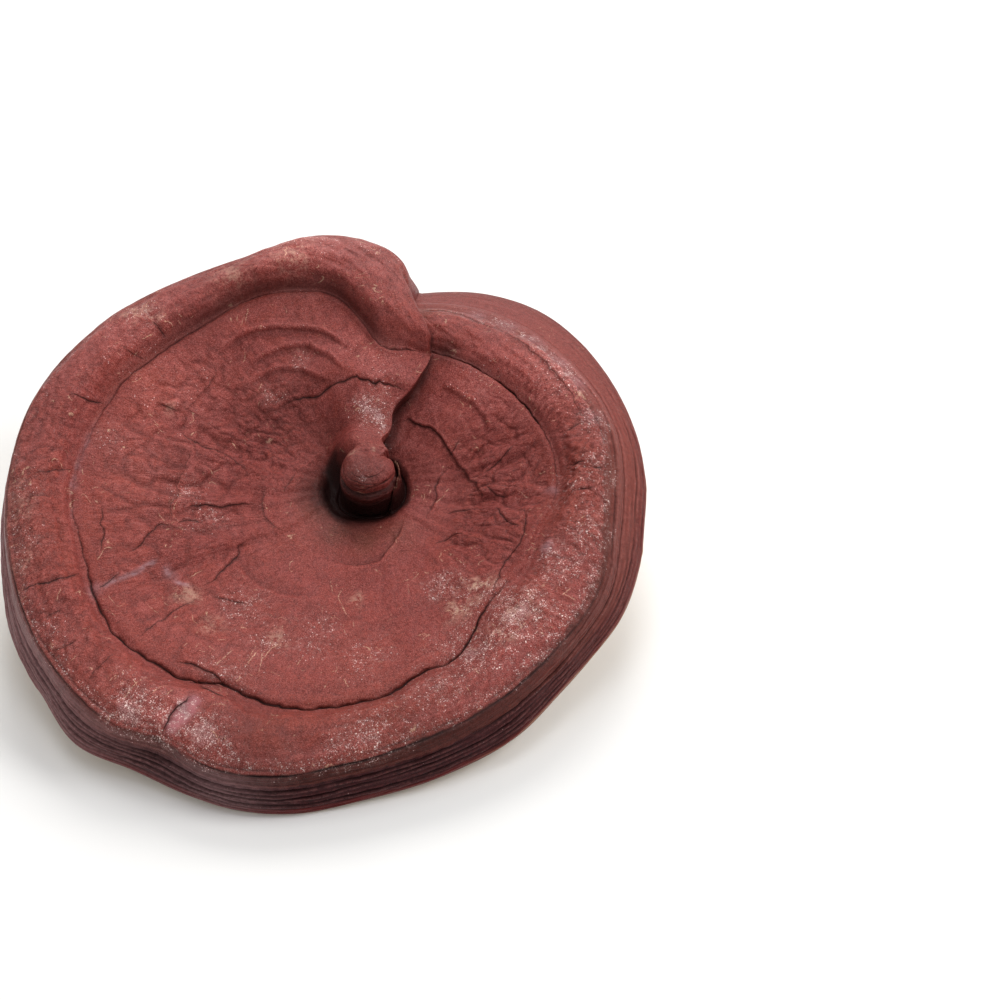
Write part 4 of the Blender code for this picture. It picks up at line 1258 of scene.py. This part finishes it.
def varnished_skin(name, gloss):
    """Red-brown varnish: mottled, streaked outwards, dark in its cracks, dusted with pale spores and painted
    glints.
    """
    s = Shader(name)
    place = s.place()
    shade, dust_and_glints, lilac = s.parts("marks_0")
    band, lamella, lip = s.parts("marks_1")
    warm, dusky_shade, wrinkled = s.parts("marks_2")
    front, layered, wear_and_highlight = s.parts("marks_3")
    tone_and_painted_light, film_and_sheen, rim_film = s.parts("marks_4")
    pink, olive, hollow = s.parts("marks_5")
    away, wide, crest = s.parts("lines")
    scored, score_width, hairline = s.parts("scratches")

    clouds = s.noise(place, 0.07, 4, 0.6)
    patches = s.noise(place, 0.30, 5, 0.65, 0.6)
    mottle = s.noise(place, 1.1, 5, 0.7, 0.4)
    grain = s.noise(place, 3.4, 2, 0.7)
    pepper = s.noise(place, 5.0, 1, 0.6)
    streaks = s.noise(s.flow((1.2, 0.33, 0)), 1.0, 4, 0.7, 1.2)
    zones = s.noise(s.flow((0.016, 0.16, 0)), 1.0, 3, 0.6, 0.8)

    ruffled = s.times(s.ramp(patches, 0.40, 0.58, 0.35, 1.0), s.plus(s.times(wrinkled, 0.45), 0.04))
    peppered = s.plus(0.55, s.times(dust_and_glints, 0.4))
    colour = s.coats(
        s.mix(s.ramp(clouds, 0.35, 0.65), (0.200, 0.027, 0.023), (0.265, 0.041, 0.031)),
        (s.times(warm, 0.7), (0.29, 0.043, 0.022)),
        # painted shade in soft patches
        (s.times(dusky_shade, 0.6), (0.090, 0.017, 0.014)),
        (s.ramp(patches, 0.5, 0.68, 0.0, 0.5), (0.25, 0.050, 0.047)),
        (s.ramp(patches, 0.47, 0.33, 0.0, 0.45), (0.27, 0.038, 0.022)),
        (s.ramp(zones, 0.52, 0.64, 0.0, 0.4), (0.29, 0.060, 0.055)),
        (s.ramp(zones, 0.48, 0.36, 0.0, 0.45), (0.125, 0.012, 0.010)),
        # mauve film, and painted sheen on the upper right margin
        (s.times(film_and_sheen, s.ramp(patches, 0.35, 0.62, 0.15, 0.7)), (0.32, 0.106, 0.100)),
        # olive-brown tint, which round the pit is also painted shade
        (s.times(olive, 0.6), (0.135, 0.050, 0.026)),
        (s.ramp(mottle, 0.50, 0.28, 0.0, 0.85), (0.085, 0.008, 0.007)),
        (s.ramp(mottle, 0.54, 0.74, 0.0, 0.75), (0.40, 0.100, 0.085)),
        (s.times(s.ramp(streaks, 0.47, 0.28), ruffled), (0.060, 0.007, 0.006)),
        (s.times(s.ramp(streaks, 0.54, 0.72), ruffled), (0.44, 0.120, 0.105)),
        (s.ramp(grain, 0.53, 0.68, 0.0, 0.4), (0.44, 0.130, 0.115)),
        (s.ramp(grain, 0.47, 0.32, 0.0, 0.4), (0.085, 0.009, 0.007)),
        (s.times(dust_and_glints, 0.3), (0.15, 0.018, 0.012)),
        (s.times(s.ramp(pepper, 0.53, 0.66), peppered), (0.47, 0.135, 0.115)),
        (s.times(s.ramp(pepper, 0.47, 0.34), peppered), (0.070, 0.008, 0.006)),
        # the pink facet, painted paler as a lit face
        (s.times(pink, 0.85), s.mix(mottle, (0.30, 0.085, 0.095), (0.52, 0.19, 0.21))),
    )

    # The rim: a brown band, then thin layers, with painted shade that makes them darkest in front.
    mottled = s.ramp(mottle, 0.35, 0.65)
    side_band = s.mix(mottled, (0.165, 0.036, 0.026), (0.235, 0.052, 0.036))
    front_band_shaded = s.mix(mottled, (0.034, 0.008, 0.006), (0.060, 0.015, 0.011))
    side_layers = s.mix(mottled, (0.115, 0.020, 0.015), (0.200, 0.036, 0.025))
    front_layers_shaded = s.mix(mottled, (0.026, 0.006, 0.008), (0.062, 0.014, 0.016))
    layer_edge = s.times(crest, s.ramp(mottle, 0.45, 0.65))
    colour = s.coats(
        colour,
        (s.times(band, 0.85), s.mix(front, side_band, front_band_shaded)),
        (s.times(lamella, 0.9), s.mix(front, side_layers, front_layers_shaded)),
        (s.times(lip, 0.7), (0.15, 0.020, 0.018)),
        (s.times(layer_edge, 0.25), (0.30, 0.13, 0.12)),
        (s.times(layered, 0.75), (0.018, 0.005, 0.005)),
        (s.times(rim_film, s.ramp(mottle, 0.3, 0.7, 0.3, 0.8)), (0.29, 0.165, 0.17)),
    )

    # Spore dust and painted glints: specks and short threads that gather in patches; lilac marks and sheen.
    clumps = s.ramp(s.noise(place, 0.8, 3, 0.65, 0.5), 0.42, 0.60)
    clumped = s.times(s.times(dust_and_glints, clumps), s.ramp(patches, 0.40, 0.58, 0.7, 1.5))
    # More painted glints on the lightened crests.
    clumped = s.plus(clumped, s.ramp(tone_and_painted_light, 0.53, 0.66, 0.0, 0.1))
    fine_speck = s.cells(place, 2.7, s.minus(0.965, s.times(clumped, 0.85)))
    speck = s.cells(place, 1.6, s.minus(0.972, s.times(clumped, 0.25)))
    threads = s.times(s.thread(place, 1.3, 0.05, 2.0), s.times(clumped, s.ramp(grain, 0.40, 0.52)))
    haze = s.times(s.times(dust_and_glints, s.ramp(patches, 0.40, 0.68)), 0.10)
    # Painted sheen where the dust patches are strongest, as on the ridge's neck.
    dust_bloom_and_sheen = s.times(s.ramp(dust_and_glints, 0.74, 1.0), s.ramp(pepper, 0.47, 0.60, 0.08, 0.75))
    # Rubbed places, and painted highlights on the knob's dome and the sheath's crest.
    rubbed_and_lit = s.times(wear_and_highlight, s.ramp(s.plus(mottle, patches), 0.95, 1.15))
    colour = s.coats(
        colour,
        (haze, (0.46, 0.22, 0.22)),
        (dust_bloom_and_sheen, (0.58, 0.38, 0.38)),
        (s.times(fine_speck, 0.85), (0.88, 0.62, 0.60)),
        (s.times(threads, 0.8), (0.82, 0.58, 0.52)),
        (s.times(speck, 0.9), (0.95, 0.76, 0.70)),
        # lilac marks, and painted sheen on the upper right margin
        (s.times(lilac, s.ramp(mottle, 0.35, 0.6, 0.3, 0.85)), (0.37, 0.205, 0.225)),
        (s.times(rubbed_and_lit, 0.8), (0.58, 0.37, 0.27)),
        (s.times(hairline, 0.8), (0.55, 0.33, 0.20)),
    )

    # Pale scored scratches and a painted highlight on the sheath's crest, then the shaded hollows and the
    # cracks.
    score_and_crest_highlight = s.ramp(s.minus(s.from_line(scored), score_width), -0.02, 0.07, 1.0, 0.0)
    score_and_crest_highlight = s.times(score_and_crest_highlight, s.times(s.ramp(mottle, 0.42, 0.50), s.ramp(grain, 0.40, 0.50)))
    where = s.times(s.ramp(s.noise(place, 0.11, 3, 0.6), 0.54, 0.60), s.ramp(grain, 0.38, 0.52))
    where = s.times(where, s.ramp(s.noise(place, 0.55, 2, 0.5), 0.50, 0.56))
    where = s.times(where, s.minus(1.0, band))
    scratch = s.math("MAXIMUM", score_and_crest_highlight, s.times(s.thread(place, 0.16, 0.012, 0.8), where))
    colour = s.mix(s.times(scratch, 0.7), colour, (0.66, 0.40, 0.27))
    colour = s.add("VectorMath", {0: colour, "Scale": s.times(tone_and_painted_light, 2.0)}, operation="SCALE")
    torn = s.plus(away, s.times(s.minus(grain, 0.5), 0.25))
    crack = s.ramp(s.minus(s.from_line(torn), wide), -0.03, 0.09, 1.0, 0.0)
    colour = s.mix(s.times(shade, 0.8), colour, (0.035, 0.006, 0.005))
    colour = s.mix(hollow, colour, s.mix(0.9, colour, (0.006, 0.002, 0.002)))
    colour = s.mix(s.times(crack, 0.9), colour, (0.022, 0.004, 0.003))

    wrinkle = s.times(streaks, s.plus(s.times(wrinkled, 1.1), 0.15))
    relief = s.plus(s.plus(wrinkle, s.times(mottle, 0.55)), s.times(grain, 0.3))
    relief = s.plus(relief, s.times(s.minus(speck, crack), 0.12))
    dull = s.plus(s.ramp(mottle, 0.3, 0.7, 0.28, 0.48), s.times(dust_and_glints, 0.12))
    return s.finish(relief, 0.0005, 0.9, Base_Color=colour, Roughness=dull, Specular_IOR_Level=gloss)


def pore_surface():
    """Cream pore layer: pin-prick pores, faint tan rings and pale scratches."""
    s = Shader("pore_surface")
    place = s.place()
    clouds = s.noise(place, 0.05, 5, 0.6)
    mottle = s.noise(place, 0.5, 4, 0.6)
    rings = s.noise(s.flow((0.012, 0.22, 0)), 1.0, 4, 0.55)
    pores = s.add("TexVoronoi", {"Vector": place, "Scale": 3.2, "Randomness": 0.7}, "Distance")
    pit = s.ramp(pores, 0.12, 0.34, 1.0, 0.0)
    thin = s.ramp(s.from_line(s.noise(place, 0.12, 2, 0.5, 1.5), 0.5), 0.0, 0.003, 1.0, 0.0)
    where = s.ramp(s.noise(place, 0.08, 3, 0.6), 0.55, 0.65)
    colour = s.coats(
        s.mix(s.ramp(clouds, 0.35, 0.68), (0.70, 0.53, 0.36), (0.80, 0.66, 0.49)),
        (s.ramp(rings, 0.5, 0.72, 0.0, 0.45), (0.58, 0.40, 0.25)),
        (s.ramp(mottle, 0.55, 0.8, 0.0, 0.4), (0.88, 0.78, 0.62)),
        (s.times(s.times(thin, where), 0.7), (0.93, 0.86, 0.72)),
        (s.times(pit, 0.35), (0.34, 0.20, 0.11)),
    )
    relief = s.minus(s.times(mottle, 0.5), s.times(pit, 0.5))
    return s.finish(relief, 0.0003, 0.7, Base_Color=colour, Roughness=0.75, Specular_IOR_Level=0.25)


def stem_skin():
    """Dark varnish down the stub, and the pale cut across its fibres."""
    s = Shader("stem_skin")
    place = s.place()
    cut = s.parts("lines")[0]
    wood = s.noise(place, 0.25, 5, 0.6, 1.0)
    fibres = s.noise(place, 2.2, 4, 0.7)
    rings = s.noise(s.flow((0.03, 0.9, 0)), 1.0, 4, 0.6, 0.5)
    streaks = s.noise(s.flow((0.9, 0.15, 0)), 1.0, 5, 0.6, 0.3)
    bark = s.coats(
        s.mix(s.ramp(streaks, 0.3, 0.7), (0.022, 0.010, 0.012), (0.085, 0.030, 0.032)),
        (s.ramp(wood, 0.5, 0.8, 0.0, 0.5), (0.14, 0.055, 0.050)),
    )
    face = s.coats(
        s.mix(s.ramp(wood, 0.35, 0.65), (0.30, 0.15, 0.075), (0.62, 0.40, 0.23)),
        (s.ramp(rings, 0.45, 0.7, 0.0, 0.7), (0.24, 0.11, 0.055)),
        (s.ramp(fibres, 0.5, 0.8, 0.0, 0.4), (0.72, 0.52, 0.33)),
    )
    relief = s.plus(s.times(streaks, 0.6), s.times(fibres, 0.3))
    dull = s.plus(s.times(cut, 0.25), 0.55)
    colour = s.mix(cut, bark, face)
    return s.finish(relief, 0.0004, 0.7, Base_Color=colour, Roughness=dull, Specular_IOR_Level=0.35)


# --- The object ---------------------------------------------------------------------------------------------


def rows_between(sheet, low, high):
    """Rows whose label is from low to high, and one more so that the next piece meets it."""
    margin = 1e-9
    return slice(sheet.row(low - margin), min(sheet.row(high - margin) + 1, sheet.shape[0]))


def build_mushroom():
    varnish = varnished_skin("varnished_skin", 0.2)
    layered = varnished_skin("layered_skin", 0.1)
    cap = finished_cap()
    cap.smooth_normals = cap.normals()
    stem = finished_stem()
    stem.smooth_normals = stem.normals()
    centre, inner, outer = (BOWL_LABEL + BOWL[i][0] for i in (0, 2, 7))
    for name, low, high, every, material in (
        ("knob", KNOB_LABEL, centre, 4, varnish),
        ("bowl_centre", centre, inner, 2, varnish),
        ("bowl_inner", inner, outer, 1, varnish),
        ("bowl_outer", outer, ROLL_LABEL, 1, varnish),
        ("rolled_margin", ROLL_LABEL, RIM_LABEL, 1, varnish),
        ("layered_rim", RIM_LABEL, UNDER_LABEL, 1, layered),
        ("pore_underside", UNDER_LABEL, LAST_LABEL, 1, pore_surface()),
    ):
        piece(name, cap, rows_between(cap, low, high), every, material)
    piece("stem_stub", stem, slice(None), 4, stem_skin())


# --- Floor, light and camera --------------------------------------------------------------------------------

FLOOR_SIZE = 6.0
FLOOR_HEIGHT = -0.0003
SKY_STRENGTH = 0.55
LIGHT_AIM = (0, 0, 0.02)
# Lamps: name, place, size, power, colour.
LIGHTS = (
    ("softbox", (0.05, 0.78, 0.80), 0.55, 6.0, (1.0, 0.99, 0.97)),
    ("overhead", (0.0, 0.05, 1.1), 0.6, 2.5, (1, 1, 1)),
    ("side_box", (0.78, -0.05, 0.78), 0.45, 4.3, (1, 1, 1)),
)
CAMERA_ANGLE = math.radians(57.0)  # of the view over the cap's plane
CAMERA_DISTANCE = 600.0
CAMERA_AIM = np.array([32.1, -11.2, 0.0])  # in the cap's frame
CAMERA_LENS = 88.0
CAMERA_SENSOR = 36.0


def floor():
    bpy.ops.mesh.primitive_plane_add(size=FLOOR_SIZE, location=(0, 0, FLOOR_HEIGHT))
    plane = bpy.context.object
    plane.name = "floor"
    s = Shader("floor_white")
    white = s.finish(None, 0, 0, Base_Color=rgb(0.88, 0.877, 0.87), Roughness=0.9, Specular_IOR_Level=0.1)
    plane.data.materials.append(white)


def studio():
    world = bpy.data.worlds.new("studio")
    world.use_nodes = True
    sky = world.node_tree.nodes["Background"]
    sky.inputs["Color"].default_value = rgb(1.0, 0.995, 0.985)
    sky.inputs["Strength"].default_value = SKY_STRENGTH
    bpy.context.scene.world = world
    for name, place, size, power, colour in LIGHTS:
        data = bpy.data.lights.new(name, "AREA")
        data.shape = "DISK"
        data.size = size
        data.energy = power
        data.color = colour
        light = bpy.data.objects.new(name, data)
        light.location = place
        light.rotation_euler = (Vector(place) - Vector(LIGHT_AIM)).to_track_quat("Z", "Y").to_euler()
        bpy.context.scene.collection.objects.link(light)
    bpy.context.scene.view_settings.view_transform = "Standard"


def camera():
    back = np.array([0, -math.cos(CAMERA_ANGLE), math.sin(CAMERA_ANGLE)])
    data = bpy.data.cameras.new("camera")
    data.lens = CAMERA_LENS
    data.sensor_width = CAMERA_SENSOR
    eye = bpy.data.objects.new("camera", data)
    eye.location = to_part(CAMERA_AIM + back * CAMERA_DISTANCE)
    eye.rotation_euler = Vector(turn_to_part(back)).to_track_quat("Z", "Y").to_euler()
    bpy.context.scene.collection.objects.link(eye)
    bpy.context.scene.camera = eye


def main():
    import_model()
    camera()
    build_mushroom()
    floor()
    studio()


main()
